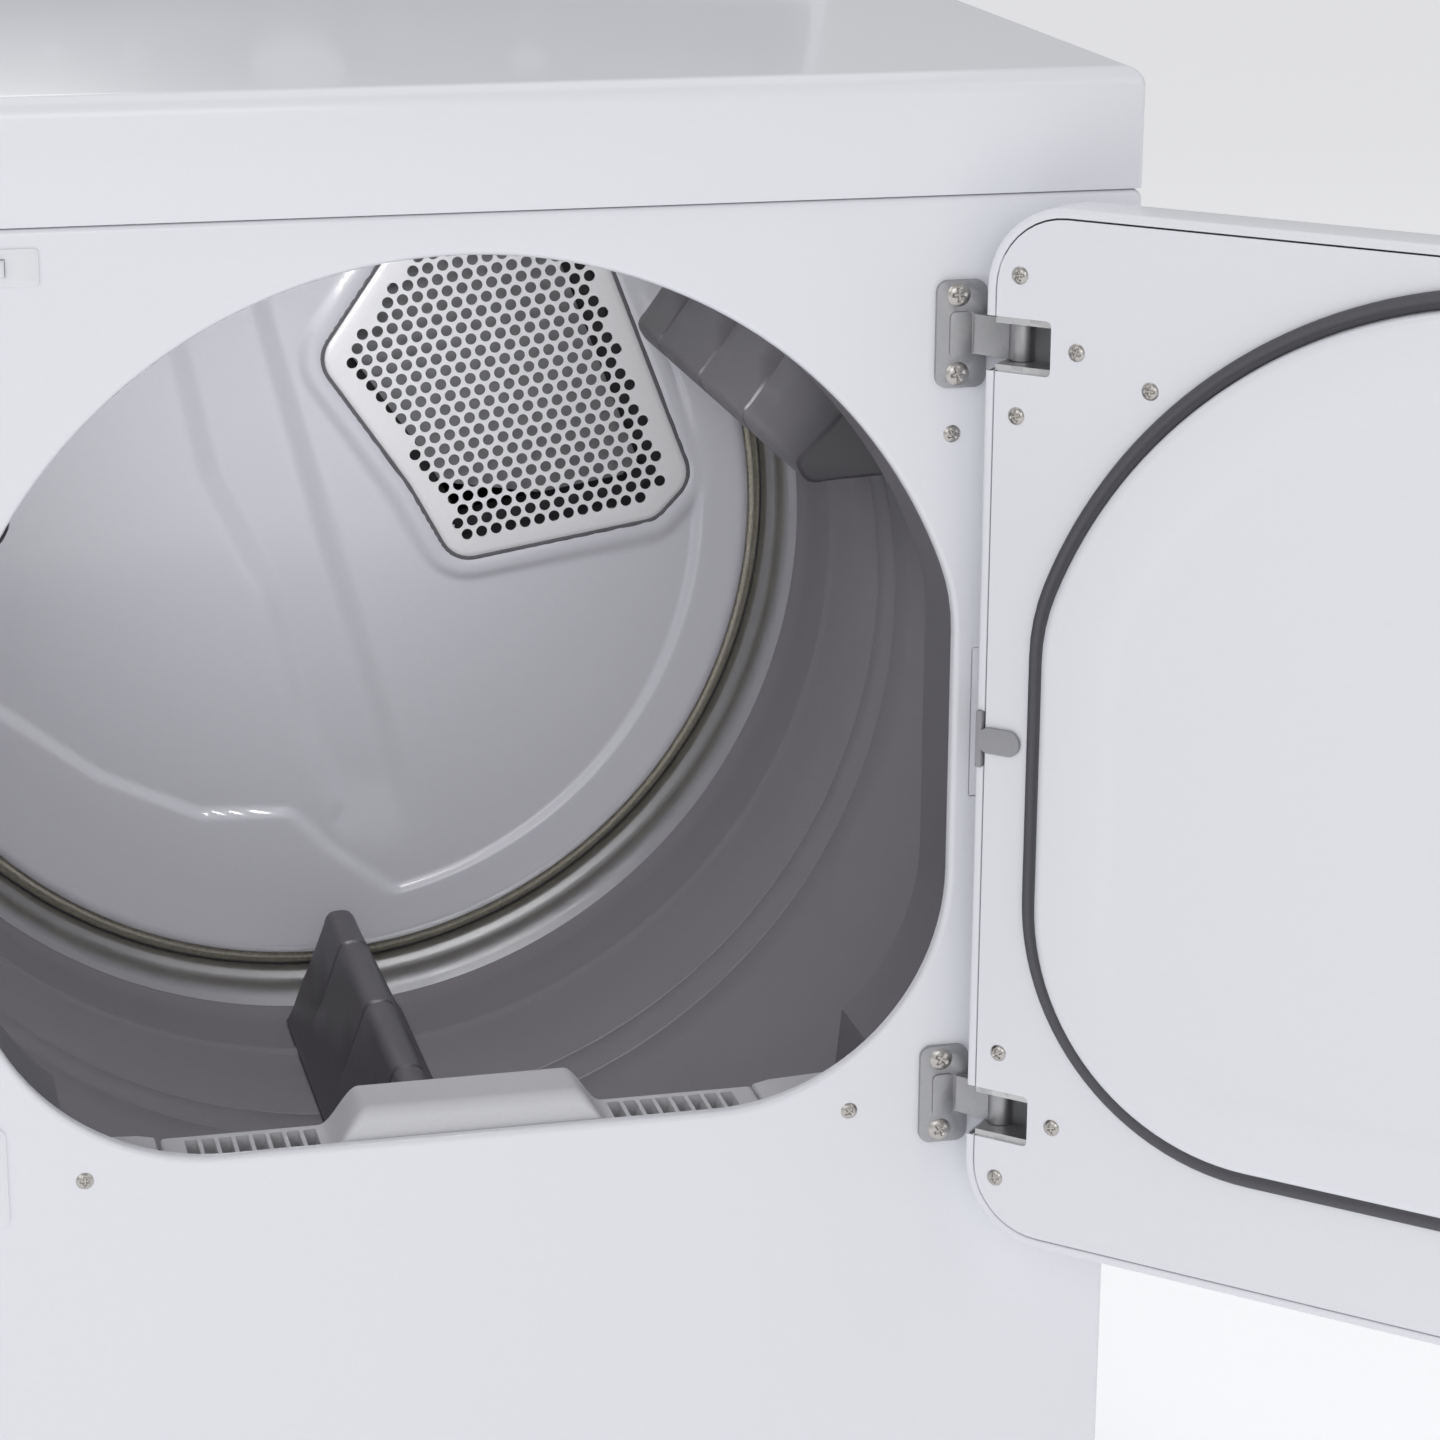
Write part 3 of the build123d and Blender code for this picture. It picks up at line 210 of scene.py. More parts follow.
def shader_group(name, inputs):
    """A new shader node group with its sockets, and its two end nodes."""
    group = bpy.data.node_groups.new(name, "ShaderNodeTree")
    for label, kind, value in inputs:
        socket = group.interface.new_socket(label, in_out="INPUT", socket_type=kind)
        if value is not None:
            socket.default_value = value
    for label in ("Value", "Height"):
        group.interface.new_socket(label, in_out="OUTPUT", socket_type=FLOAT)
    return group, group.nodes.new("NodeGroupInput"), group.nodes.new("NodeGroupOutput")


def send_out(group, start, end, value, height):
    """Spread a 0 to 1 value over Low to High, and send it out with the height."""
    spread = add_node(group, "ShaderNodeMapRange", {
        "Value": value, "To Min": start.outputs["Low"], "To Max": start.outputs["High"]})
    group.links.new(spread.outputs["Result"], end.inputs["Value"])
    group.links.new(height, end.inputs["Height"])


speckle, start, end = shader_group("speckle", SHARED)
fine = add_node(speckle, "ShaderNodeTexNoise", {
    "Vector": start.outputs["Vector"], "Scale": start.outputs["Scale"], "Detail": 3.0})
broad = add_node(speckle, "ShaderNodeTexNoise", {"Vector": start.outputs["Vector"], "Scale": 6.0})
send_out(speckle, start, end, broad.outputs["Fac"], fine.outputs["Fac"])

streaks, start, end = shader_group("streaks", SHARED + [("Stretch", VECTOR, (1, 1, 1))])
scaled = add_node(streaks, "ShaderNodeVectorMath", {
    0: start.outputs["Vector"], 1: start.outputs["Stretch"]}, operation="MULTIPLY")
lines = add_node(streaks, "ShaderNodeTexNoise", {
    "Vector": scaled.outputs["Vector"], "Scale": start.outputs["Scale"], "Detail": 4.0})
send_out(streaks, start, end, lines.outputs["Fac"], lines.outputs["Fac"])

spangle, start, end = shader_group("spangle", SHARED)
crystals = add_node(spangle, "ShaderNodeTexVoronoi", {
    "Vector": start.outputs["Vector"], "Scale": start.outputs["Scale"]})
split = add_node(spangle, "ShaderNodeSeparateColor", {"Color": crystals.outputs["Color"]})
send_out(spangle, start, end, split.outputs["Red"], split.outputs["Green"])
print("effects:", [g.name for g in bpy.data.node_groups])

# %% [markdown]
# ## Finishes
# A finish is a Principled shader with one shared effect. The effect varies the roughness and, through
# a colour mix, the tone a little, and its height feeds a bump so small that only highlights show it.

# %% Finish maker


def finish(name, colour, effect, scale, rough, bump, tone=0.06, metal=0.0, coat=0.0, stretch=None):
    """A material: colour, an effect at a scale, (low, high) roughness, bump depth in metres."""
    material = bpy.data.materials.new(name)
    material.use_nodes = True
    tree = material.node_tree
    shader = tree.nodes["Principled BSDF"]
    shader.inputs["Metallic"].default_value = metal
    shader.inputs["Coat Weight"].default_value = coat
    shader.inputs["Coat Roughness"].default_value = 0.08
    place = add_node(tree, "ShaderNodeTexCoord")
    group = add_node(tree, "ShaderNodeGroup", node_tree=effect)
    tree.links.new(place.outputs["Object"], group.inputs["Vector"])
    for label, value in (("Scale", scale), ("Low", rough[0]), ("High", rough[1]), ("Stretch", stretch)):
        if value is not None:
            group.inputs[label].default_value = value
    tree.links.new(group.outputs["Value"], shader.inputs["Roughness"])
    mix = add_node(tree, "ShaderNodeMix", {
        "Factor": group.outputs["Height"], "A": tuple(c * (1 - tone) for c in colour) + (1,),
        "B": tuple(min(1.0, c * (1 + tone)) for c in colour) + (1,)}, data_type="RGBA")
    tree.links.new(mix.outputs["Result"], shader.inputs["Base Color"])
    if bump:
        relief = add_node(tree, "ShaderNodeBump", {
            "Strength": 0.6, "Distance": bump, "Height": group.outputs["Height"]})
        tree.links.new(relief.outputs["Normal"], shader.inputs["Normal"])
    return material


# %% The finishes of this machine
ENAMEL = finish("white_enamel", (0.80, 0.81, 0.845), speckle, 260, (0.26, 0.34), 0.00002, 0.012, coat=0.35)
WALL = finish("rear_wall_enamel", (0.50, 0.50, 0.545), speckle, 240, (0.17, 0.25), 0.00002, 0.02, coat=0.5)
DRUM = finish("charcoal_powder_coat", (0.14, 0.132, 0.146), speckle, 900, (0.42, 0.52), 0.00006, 0.14)
ZINC_SHEET = finish("galvanised_sheet", (0.55, 0.55, 0.55), spangle, 150, (0.34, 0.52), 0.00002, 0.10,
                    metal=1.0)
CAST_ZINC = finish("cast_zinc", (0.40, 0.40, 0.41), speckle, 500, (0.36, 0.46), 0.00006, 0.08, metal=0.9)
NICKEL = finish("nickel_screw", (0.50, 0.48, 0.455), speckle, 700, (0.22, 0.34), 0.00002, 0.08, metal=1.0)
LIFTER = finish("lifter_plastic", (0.062, 0.058, 0.066), speckle, 700, (0.38, 0.48), 0.00005, 0.10)
GREY_GRAIN = finish("grey_grained_plastic", (0.60, 0.60, 0.62), speckle, 1100, (0.50, 0.60), 0.00014, 0.05)
SLATE = finish("slate_plastic", (0.33, 0.33, 0.345), speckle, 800, (0.40, 0.50), 0.00004, 0.04)
WHITE_PLASTIC = finish("white_plastic", (0.78, 0.79, 0.81), speckle, 500, (0.30, 0.38), 0.00003, 0.01)
FELT = finish("wool_felt", (0.33, 0.31, 0.26), speckle, 420, (0.92, 1.0), 0.0010, 0.40)
RUBBER = finish("seal_rubber", (0.085, 0.083, 0.092), speckle, 600, (0.46, 0.56), 0.00006, 0.12)
BELT = finish("belt_rubber", (0.02, 0.02, 0.021), speckle, 600, (0.55, 0.65), 0.00006, 0.15)
PIPE = finish("aluminium_pipe", (0.70, 0.71, 0.72), streaks, 50, (0.26, 0.40), 0.00003, 0.08, metal=1.0,
              stretch=(1, 24, 1))
MOTOR = finish("motor_paint", (0.06, 0.065, 0.07), speckle, 500, (0.38, 0.50), 0.00008, 0.12)
WIRE = finish("oxidised_wire", (0.24, 0.20, 0.17), speckle, 900, (0.45, 0.6), 0.00003, 0.15, metal=0.8)
BOARD = finish("circuit_board", (0.02, 0.12, 0.06), speckle, 900, (0.35, 0.5), 0.00002, 0.2)
# Painted shade: a near-black finish for sheets that stand where only shade falls, in the air duct and under the
# filter's windows.
PAINTED_SHADE = finish("dark_recess", (0.035, 0.034, 0.038), speckle, 600, (0.6, 0.7), 0.00002, 0.1)
HOOP = finish("bright_hoop_steel", (0.62, 0.62, 0.625), speckle, 900, (0.30, 0.42), 0.00003, 0.05, metal=1.0)
FLOOR = finish("pale_floor", (0.86, 0.865, 0.88), speckle, 30, (0.6, 0.7), 0.0, 0.005)
for material, label, value in ((FELT, "Sheen Weight", 0.5), (FLOOR, "Emission Color", (1, 1, 1, 1)),
                               (FLOOR, "Emission Strength", 0.34)):
    material.node_tree.nodes["Principled BSDF"].inputs[label].default_value = value
print("finishes:", len(bpy.data.materials))

# %% Floor
floor_mesh = bpy.data.meshes.new("floor")
floor_mesh.from_pydata([(-14, -14, 0), (14, -14, 0), (14, 14, 0), (-14, 14, 0)], [], [(0, 1, 2, 3)])
floor_mesh.materials.append(FLOOR)
floor = link_object("floor", floor_mesh)

# %% [markdown]
# ## Helpers for pressed sheet
# Nearly everything here is pressed from sheet. A pressed edge is the outline drawn at several
# offsets and depths, and a skin stretched over those loops. So the helpers make outlines at any
# offset with the same number of points each, and join them. The flat between an outer outline and
# its holes is filled by a constrained triangulation, which keeps thin strips clean.

# %% Outlines


def arc_points(cx, cz, radius, start_deg, end_deg, steps):
    """Points on an arc, first included and last left out."""
    points = []
    for step in range(steps):
        angle = math.radians(start_deg + (end_deg - start_deg) * step / steps)
        points.append((cx + radius * math.cos(angle), cz + radius * math.sin(angle)))
    return points


def line_points(a, b, steps):
    """Points on a straight run, first included and last left out."""
    return [(a[0] + (b[0] - a[0]) * i / steps, a[1] + (b[1] - a[1]) * i / steps) for i in range(steps)]


def opening_outline(grow=0.0):
    """The loading opening grown by a distance, anticlockwise seen from the front."""
    fillet = max(OPEN_SHOULDER + grow, 14.0)
    shoulder_x = OPEN_HALF + grow - fillet
    rise = math.sqrt((OPEN_R + grow - fillet) ** 2 - shoulder_x ** 2)
    shoulder_z = OPEN_CZ + rise
    turn = math.degrees(math.atan2(rise, shoulder_x))
    corner_x = OPEN_HALF - OPEN_CORNER
    corner_z = OPEN_BOTTOM + OPEN_CORNER
    half = OPEN_HALF + grow
    corner = OPEN_CORNER + grow
    points = line_points((half, corner_z), (half, shoulder_z), 6)
    points += arc_points(shoulder_x, shoulder_z, fillet, 0, turn, 4)
    points += arc_points(0, OPEN_CZ, OPEN_R + grow, turn, 180 - turn, 72)
    points += arc_points(-shoulder_x, shoulder_z, fillet, 180 - turn, 180, 4)
    points += line_points((-half, shoulder_z), (-half, corner_z), 6)
    points += arc_points(-corner_x, corner_z, corner, 180, 270, 26)
    points += line_points((-corner_x, OPEN_BOTTOM - grow), (corner_x, OPEN_BOTTOM - grow), 10)
    points += arc_points(corner_x, corner_z, corner, 270, 360, 26)
    return points


def round_rect(cx, cz, half_x, half_z, radius, steps=8):
    """A rectangle with round corners, anticlockwise from the right side."""
    radius = max(radius, 0.05)
    x = half_x - radius
    z = half_z - radius
    points = arc_points(cx + x, cz + z, radius, 0, 90, steps) + [(cx + x, cz + half_z)]
    points += arc_points(cx - x, cz + z, radius, 90, 180, steps) + [(cx - half_x, cz + z)]
    points += arc_points(cx - x, cz - z, radius, 180, 270, steps) + [(cx - x, cz - half_z)]
    points += arc_points(cx + x, cz - z, radius, 270, 360, steps) + [(cx + half_x, cz - z)]
    return points


def at_depth(outline, y):
    """Put a flat outline at a depth."""
    return [(x, y, z) for x, z in outline]


print("points round the opening:", len(opening_outline()))

# %% Skins


class Skin:
    """Loose points and faces in millimetres, joined into one mesh at the end."""

    def __init__(self):
        self.points = []
        self.faces = []

    def loft(self, loops, ring=False, round_loop=True):
        """Quads between loops of equal length; ring joins the last loop to the first."""
        base = len(self.points)
        count = len(loops[0])
        for loop in loops:
            self.points += loop
        pairs = len(loops) if ring else len(loops) - 1
        last = count if round_loop else count - 1
        for row in range(pairs):
            below = base + row * count
            above = base + ((row + 1) % len(loops)) * count
            for i in range(last):
                j = (i + 1) % count
                self.faces.append((below + i, below + j, above + j, above + i))

    def cap(self, loop):
        """One flat face over a loop."""
        base = len(self.points)
        self.points += loop
        self.faces.append(tuple(range(base, base + len(loop))))

    def solid(self, first, last):
        """A closed run between two loops."""
        self.loft([first, last])
        self.cap(first)
        self.cap(last)

    def flat(self, loops, y):
        """Triangles between an outer outline and its holes at one depth."""
        coords = [Vector(p) for loop in loops for p in loop]
        rings = []
        at = 0
        for loop in loops:
            rings.append(list(range(at, at + len(loop))))
            at += len(loop)
        out = delaunay_2d_cdt(coords, [], rings, 2, 1e-4)
        base = len(self.points)
        self.points += [(p.x, y, p.y) for p in out[0]]
        self.faces += [tuple(base + i for i in face) for face in out[2]]


def new_piece(name, skin, material, body, node=(), turn=0.0, sharp=32):
    """Turn a skin into a piece: metres, joined, facing outwards, smooth, riding on a body."""
    mesh = bpy.data.meshes.new(name)
    mesh.from_pydata([Vector(p) * MM for p in skin.points], [], skin.faces)
    return finish_mesh(mesh, name, material, body, node, turn, sharp)


def finish_mesh(mesh, name, material, body, node=(), turn=0.0, sharp=32, merge=0.02):
    """Clean a mesh, shade it, give it its finish and body, and hide the node it replaces."""
    work = bmesh.new()
    work.from_mesh(mesh)
    bmesh.ops.remove_doubles(work, verts=work.verts, dist=merge * MM)
    bmesh.ops.recalc_face_normals(work, faces=work.faces)
    if turn:
        spin = Matrix.Rotation(math.radians(turn), 4, "Z")
        hinge = Vector((HINGE_X, HINGE_Y, 0)) * MM
        shift = Matrix.Translation(hinge) @ spin @ Matrix.Translation(-hinge)
        bmesh.ops.transform(work, matrix=shift, verts=work.verts)
    for face in work.faces:
        face.smooth = True
    for edge in work.edges:
        edge.smooth = not edge.is_manifold or edge.calc_face_angle(0) < math.radians(sharp)
    work.to_mesh(mesh)
    work.free()
    mesh.materials.clear()
    mesh.materials.append(material)
    piece = link_object(name, mesh)
    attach(piece, body)
    if node:
        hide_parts(*([node] if isinstance(node, str) else node))
    print(name, "faces", len(mesh.polygons))
    return piece


def plain_mesh(source, name):
    """The evaluated shape of an object with modifiers, as a mesh of its own."""
    graph = bpy.context.evaluated_depsgraph_get()
    graph.update()
    mesh = bpy.data.meshes.new_from_object(source.evaluated_get(graph))
    mesh.name = name
    bpy.data.objects.remove(source)
    return mesh


def rough_object(name, skin):
    """A working object that holds a skin until its modifiers are made plain."""
    mesh = bpy.data.meshes.new(name)
    mesh.from_pydata([Vector(p) * MM for p in skin.points], [], skin.faces)
    work = bmesh.new()
    work.from_mesh(mesh)
    bmesh.ops.remove_doubles(work, verts=work.verts, dist=0.02 * MM)
    bmesh.ops.recalc_face_normals(work, faces=work.faces)
    work.to_mesh(mesh)
    work.free()
    return link_object(name, mesh)


def joined(name, meshes):
    """Several meshes as one."""
    work = bmesh.new()
    for mesh in meshes:
        work.from_mesh(mesh)
    mesh = bpy.data.meshes.new(name)
    work.to_mesh(mesh)
    work.free()
    return mesh


def cut(thing, cutters):
    """Subtract closed skins from a working object."""
    tools = []
    for index, skin in enumerate(cutters):
        tool = rough_object("cutter_%d" % index, skin)
        tools.append(tool)
        step = thing.modifiers.new("cut", "BOOLEAN")
        step.operation = "DIFFERENCE"
        step.solver = "MANIFOLD"
        step.object = tool
    mesh = plain_mesh(thing, thing.name)
    for tool in tools:
        bpy.data.objects.remove(tool)
    return mesh


def prism(outline, y0, y1):
    """A closed skin between two depths."""
    skin = Skin()
    skin.loft([at_depth(outline, y0), at_depth(outline, y1)])
    skin.flat([outline], y0)
    skin.flat([outline], y1)
    return skin


print("skin helpers ready")

# %% [markdown]
# ## Front panel
# The front is one pressed steel sheet. Its sides fold back round the cabinet, and the opening's edge
# is rolled inwards to a short collar, so no raw edge meets the clothes. It could be cut from a box with
# booleans, but the rolled edge is what catches the light, so both rims are lofted through offsets.

# %% Front panel
ROLL = 3.2
COLLAR = 6.0


def rolled_rim(outline_at, outward, depth, thick=SHEET):
    """Loops of an edge that rolls from the face to a flange, back up inside to the rear face."""
    loops = []
    for step in range(7):
        angle = math.radians(90 * step / 6)
        offset = ROLL * (1 - math.sin(angle))
        loops.append(at_depth(outline_at(-outward * offset), FRONT + ROLL * (1 - math.cos(angle))))
    loops.append(at_depth(outline_at(0), FRONT + depth))
    loops.append(at_depth(outline_at(-outward * thick), FRONT + depth))
    loops.append(at_depth(outline_at(-outward * thick), FRONT + ROLL))
    loops.append(at_depth(outline_at(-outward * ROLL), FRONT + thick))
    return loops


def panel_outline(grow):
    """The front panel's edge grown by a distance."""
    middle = (PANEL_FOOT + PANEL_HEAD) / 2
    half_z = (PANEL_HEAD - PANEL_FOOT) / 2
    return round_rect(0, middle, SIDE + grow, half_z + grow, 5.5 + grow, 4)


def slot_rim(cx, cz, half_x, half_z):
    """Loops of a punched slot with a slightly broken edge."""
    rim = [at_depth(round_rect(cx, cz, half_x + 0.5, half_z + 0.5, 2.0, 3), FRONT)]
    rim.append(at_depth(round_rect(cx, cz, half_x, half_z, 1.5, 3), FRONT + 0.5))
    rim.append(at_depth(round_rect(cx, cz, half_x, half_z, 1.5, 3), FRONT + SHEET))
    return rim


def flat_of(loop):
    """Drop the depth of a loop."""
    return [(x, z) for x, y, z in loop]


panel = Skin()
rims = [rolled_rim(panel_outline, 1, 18), rolled_rim(opening_outline, -1, COLLAR)]
rims += [slot_rim(sign * 268.0, DOOR_Z, 8.0, 40.0) for sign in (-1, 1)]
rims.append(slot_rim(-222.0, 907.5, 20.0, 7.0))
for rim in rims:
    panel.loft(rim)
panel.flat([flat_of(rim[0]) for rim in rims], FRONT)
panel.flat([flat_of(rim[-1]) for rim in rims], FRONT + SHEET)
new_piece("front_panel_sheet", panel, ENAMEL, "cabinet", "front_panel")

# %% [markdown]
# Behind the panel a second sheet carries the drum's front edge. A short throat joins the two round the
# opening, except low down, where the filter's housing takes its place. It is drawn from the same
# outline, with the low points left out, so that the two sheets cannot drift apart.

# %% Throat and drum support
THROAT = (FRONT + COLLAR + 0.4, FRONT + 52.0)
RING_R = 308.0
outline = opening_outline()
high = [i for i, (x, z) in enumerate(outline) if abs(x) > 205.0 or z > 500.0]
jump = [n for n in range(1, len(high)) if high[n] != high[n - 1] + 1][0]
high = high[jump:] + high[:jump]
inner_line = [(205.0, 446.0)] + [outline[i] for i in high] + [(-205.0, 446.0)]
outer_line = [(206.2, 446.0)] + [opening_outline(SHEET)[i] for i in high] + [(-206.2, 446.0)]
support = Skin()
loops = [at_depth(inner_line, THROAT[0]), at_depth(inner_line, THROAT[1])]
loops += [at_depth(outer_line, THROAT[1]), at_depth(outer_line, THROAT[0])]
support.loft(loops, ring=True, round_loop=False)
support.cap([loop[0] for loop in loops])
support.cap([loop[-1] for loop in loops])
plate_edge = round_rect(0, 580, 325, 330, 6, 4)
hole = [opening_outline(SHEET + 0.1)[i] for i in high] + [(-206.3, 436.0), (206.3, 436.0)]
for y in (THROAT[1], THROAT[1] + SHEET):
    support.flat([plate_edge, hole], y)
for loop in (plate_edge, hole):
    support.loft([at_depth(loop, THROAT[1]), at_depth(loop, THROAT[1] + SHEET)])
ring = [arc_points(0, DRUM_Z, r, 0, 360, 160) for r in (RING_R, RING_R - SHEET)]
back = (THROAT[1] + SHEET + 0.05, FRONT + 80.0)
support.loft([at_depth(ring[0], back[0]), at_depth(ring[0], back[1]), at_depth(ring[1], back[1]),
              at_depth(ring[1], back[0])], ring=True)
new_piece("drum_support_sheet", support, DRUM, "cabinet", "front_bulkhead")

# %% [markdown]
# ## Door
# The door is a shallow tray: an outer skin with a round edge, and an inner panel held by screws, with
# a raised pad that fills the opening. Everything is drawn with the door shut and then swung on the
# hinge line as one, because the shut door shares its outlines with the cabinet.

# %% Door outer skin
DOOR_T = 36.0
DOOR_OUT = DOOR_IN - DOOR_T


def door_outline(inset, steps=10):
    """The door's edge drawn in by a distance."""
    return round_rect(0, DOOR_Z, DOOR_HALF - inset, DOOR_H / 2 - inset, DOOR_R - inset, steps)


def tray_loops(thin):
    """Loops from the rim's lip over the rim, down the side and round to the outer face."""
    front = DOOR_IN - thin
    lip = DOOR_RIM - thin
    loops = [at_depth(door_outline(lip), DOOR_IN - 3.2)]
    loops.append(at_depth(door_outline(lip), front if thin else DOOR_IN - 0.8))
    for step in range(1, 5 if not thin else 1):
        angle = math.radians(90 * step / 4)
        inset = DOOR_RIM - 0.8 * (1 - math.cos(angle))
        loops.append(at_depth(door_outline(inset), DOOR_IN - 0.8 * (1 - math.sin(angle))))
    small, large = 1.6 - thin, 10 - thin
    for step in range(5):
        angle = math.radians(90 * step / 4)
        inset = thin + small * (1 - math.sin(angle))
        loops.append(at_depth(door_outline(inset), front - small * (1 - math.cos(angle))))
    for step in range(9):
        angle = math.radians(90 * step / 8)
        inset = thin + large * (1 - math.cos(angle))
        loops.append(at_depth(door_outline(inset), DOOR_OUT + thin + large * (1 - math.sin(angle))))
    return loops


shell = Skin()
outside, inside = tray_loops(0.0), tray_loops(SHEET)
shell.loft(list(reversed(inside)) + outside)
shell.flat([door_outline(10)], DOOR_OUT)
shell.flat([door_outline(10)], DOOR_OUT + SHEET)
tray = rough_object("door_tray", shell)
notches = [prism(round_rect(285, z, 16, NOTCH_HALF, 2.5, 4), DOOR_IN - 24, DOOR_IN + 3) for z in HINGE_Z]
notches.append(prism(round_rect(290, DOOR_Z, 290 - 282.3, 15, 1.0, 3), DOOR_IN - 16, DOOR_IN + 3))
notches.append(prism(round_rect(-262, DOOR_Z, 11, 45, 3, 5), DOOR_OUT - 3, DOOR_OUT + 5))
mesh = cut(tray, notches)
finish_mesh(mesh, "door_outer_skin", ENAMEL, "door", "door_shell", REST_OPEN)

# %% [markdown]
# The inner panel is a second pressed sheet. Its pad has a soft edge and a very faint step just inside
# it, from the press tool. Flats and the pad share loops, so the sheet stays one skin.

# %% Door inner panel
PAD_STEP = ((0.0, 0.0), (0.0, 2.2), (0.1, 5.0), (0.46, 7.3), (1.2, 8.9), (2.3, 10.05), (3.9, 10.75),
            (6.0, 11.0))


def door_panel_outline():
    """Edge of the inner panel with a bite for each hinge, anticlockwise from the right side."""
    inset = DOOR_RIM + 0.8
    x = DOOR_HALF - inset
    points = door_outline(inset)
    right = []
    for z in HINGE_Z:
        low, high = z - NOTCH_HALF, z + NOTCH_HALF
        right += [(x, low), (NOTCH_X + 2.5, low)]
        right += [(NOTCH_X + 0.7, low + 0.7), (NOTCH_X, low + 2.5), (NOTCH_X, high - 2.5)]
        right += [(NOTCH_X + 0.7, high - 0.7), (NOTCH_X + 2.5, high), (x, high)]
    return points + right


inner = Skin()
base = opening_outline(-PAD_INSET)
edge = door_panel_outline()
FAINT_STEP = ((34, 11.0), (37, 10.8), (41, 10.25), (44, 10.05))
pad = [at_depth(opening_outline(-PAD_INSET - inset), DOOR_IN + rise) for inset, rise in PAD_STEP + FAINT_STEP]
inner.flat([edge, base], DOOR_IN)
inner.loft(pad)
inner.flat([opening_outline(-PAD_INSET - 44)], DOOR_IN + 10.05)
under = [at_depth(opening_outline(-PAD_INSET - SHEET - inset), DOOR_IN + rise - SHEET)
         for inset, rise in PAD_STEP]
inner.flat([edge, opening_outline(-PAD_INSET - SHEET)], DOOR_IN - SHEET)
inner.loft(under)
inner.flat([opening_outline(-PAD_INSET - SHEET - 6)], DOOR_IN + PAD_H - SHEET)
inner.loft([at_depth(edge, DOOR_IN), at_depth(edge, DOOR_IN - SHEET)])
new_piece("door_pad_sheet", inner, ENAMEL, "door", "door_inner_panel", REST_OPEN)

# %% [markdown]
# ## Door seal
# A soft hollow bead of dark rubber sits round the foot of the pad. It meets the front panel when the
# door shuts. Its section is one closed loop, carried round the outline.

# %% Door seal
SEAL_SECTION = ((-1.7, 0.05), (-1.7, 1.8), (-0.9, 2.6), (0.4, 2.7), (1.3, 3.3), (2.2, 4.2), (3.6, 4.6),
                (5.2, 4.4), (6.4, 3.5), (7.0, 2.2), (7.0, 0.8), (6.6, 0.05))
seal = Skin()
seal.loft([at_depth(opening_outline(out), DOOR_IN + rise) for out, rise in SEAL_SECTION], ring=True)
new_piece("door_seal_bead", seal, RUBBER, "door", "door_seal", REST_OPEN, 50)

# %% [markdown]
# ## Turned walls
# The drum, its rear band and both felt rings are profiles carried round one axis, which is a rule, so
# Geometry Nodes make them. The object holds only the closed profile; the tree carries it round a circle
# and sets the finish. A Spin in mesh code would do as well, but here the profile stays editable.

# %% Geometry tree: turn a profile


def geometry_tree(name, inputs):
    """A geometry tree with a mesh in and out and named inputs; returns it with its end nodes."""
    tree = bpy.data.node_groups.new(name, "GeometryNodeTree")
    tree.interface.new_socket("Geometry", in_out="INPUT", socket_type="NodeSocketGeometry")
    for label, kind in inputs:
        tree.interface.new_socket(label, in_out="INPUT", socket_type=kind)
    tree.interface.new_socket("Geometry", in_out="OUTPUT", socket_type="NodeSocketGeometry")
    return tree, tree.nodes.new("NodeGroupInput"), tree.nodes.new("NodeGroupOutput")


def end_tree(tree, shape, start, end):
    """Realize, give the finish, and send out."""
    real = add_node(tree, "GeometryNodeRealizeInstances", {0: shape})
    coat = add_node(tree, "GeometryNodeSetMaterial", {
        "Geometry": real.outputs[0], "Material": start.outputs["Finish"]})
    tree.links.new(coat.outputs[0], end.inputs[0])


def maths(tree, operation, first, second=None):
    """One math node; its inputs are sockets or numbers."""
    inputs = {0: first} if second is None else {0: first, 1: second}
    return add_node(tree, "ShaderNodeMath", inputs, operation=operation).outputs[0]


def run_tree(thing, tree, **values):
    """Put a tree on an object with its named inputs set, and return the plain result."""
    step = thing.modifiers.new(tree.name, "NODES")
    step.node_group = tree
    for item in tree.interface.items_tree:
        if item.in_out == "INPUT" and item.name in values:
            step[item.identifier] = values[item.name]
    return plain_mesh(thing, thing.name)


turned_wall, start, end = geometry_tree("turned_wall", [
    ("Guide Radius", "NodeSocketFloat"), ("Segments", "NodeSocketInt"),
    ("Axis Height", "NodeSocketFloat"), ("Finish", "NodeSocketMaterial")])
radius = start.outputs["Guide Radius"]
inward = add_node(turned_wall, "ShaderNodeCombineXYZ", {"X": maths(turned_wall, "MULTIPLY", radius, -1)})
shift = add_node(turned_wall, "GeometryNodeSetPosition", {
    "Geometry": start.outputs["Geometry"], "Offset": inward.outputs[0]})
line = add_node(turned_wall, "GeometryNodeMeshToCurve", {0: shift.outputs[0]})
path = add_node(turned_wall, "GeometryNodeCurvePrimitiveCircle", {
    "Radius": radius, "Resolution": start.outputs["Segments"]})
sweep = add_node(turned_wall, "GeometryNodeCurveToMesh", {
    "Curve": path.outputs["Curve"], "Profile Curve": line.outputs[0]})
lift = add_node(turned_wall, "ShaderNodeCombineXYZ", {"Z": start.outputs["Axis Height"]})
lie = add_node(turned_wall, "GeometryNodeTransform", {
    "Geometry": sweep.outputs[0], "Translation": lift.outputs[0], "Rotation": (math.radians(90), 0, 0)})
end_tree(turned_wall, lie.outputs[0], start, end)


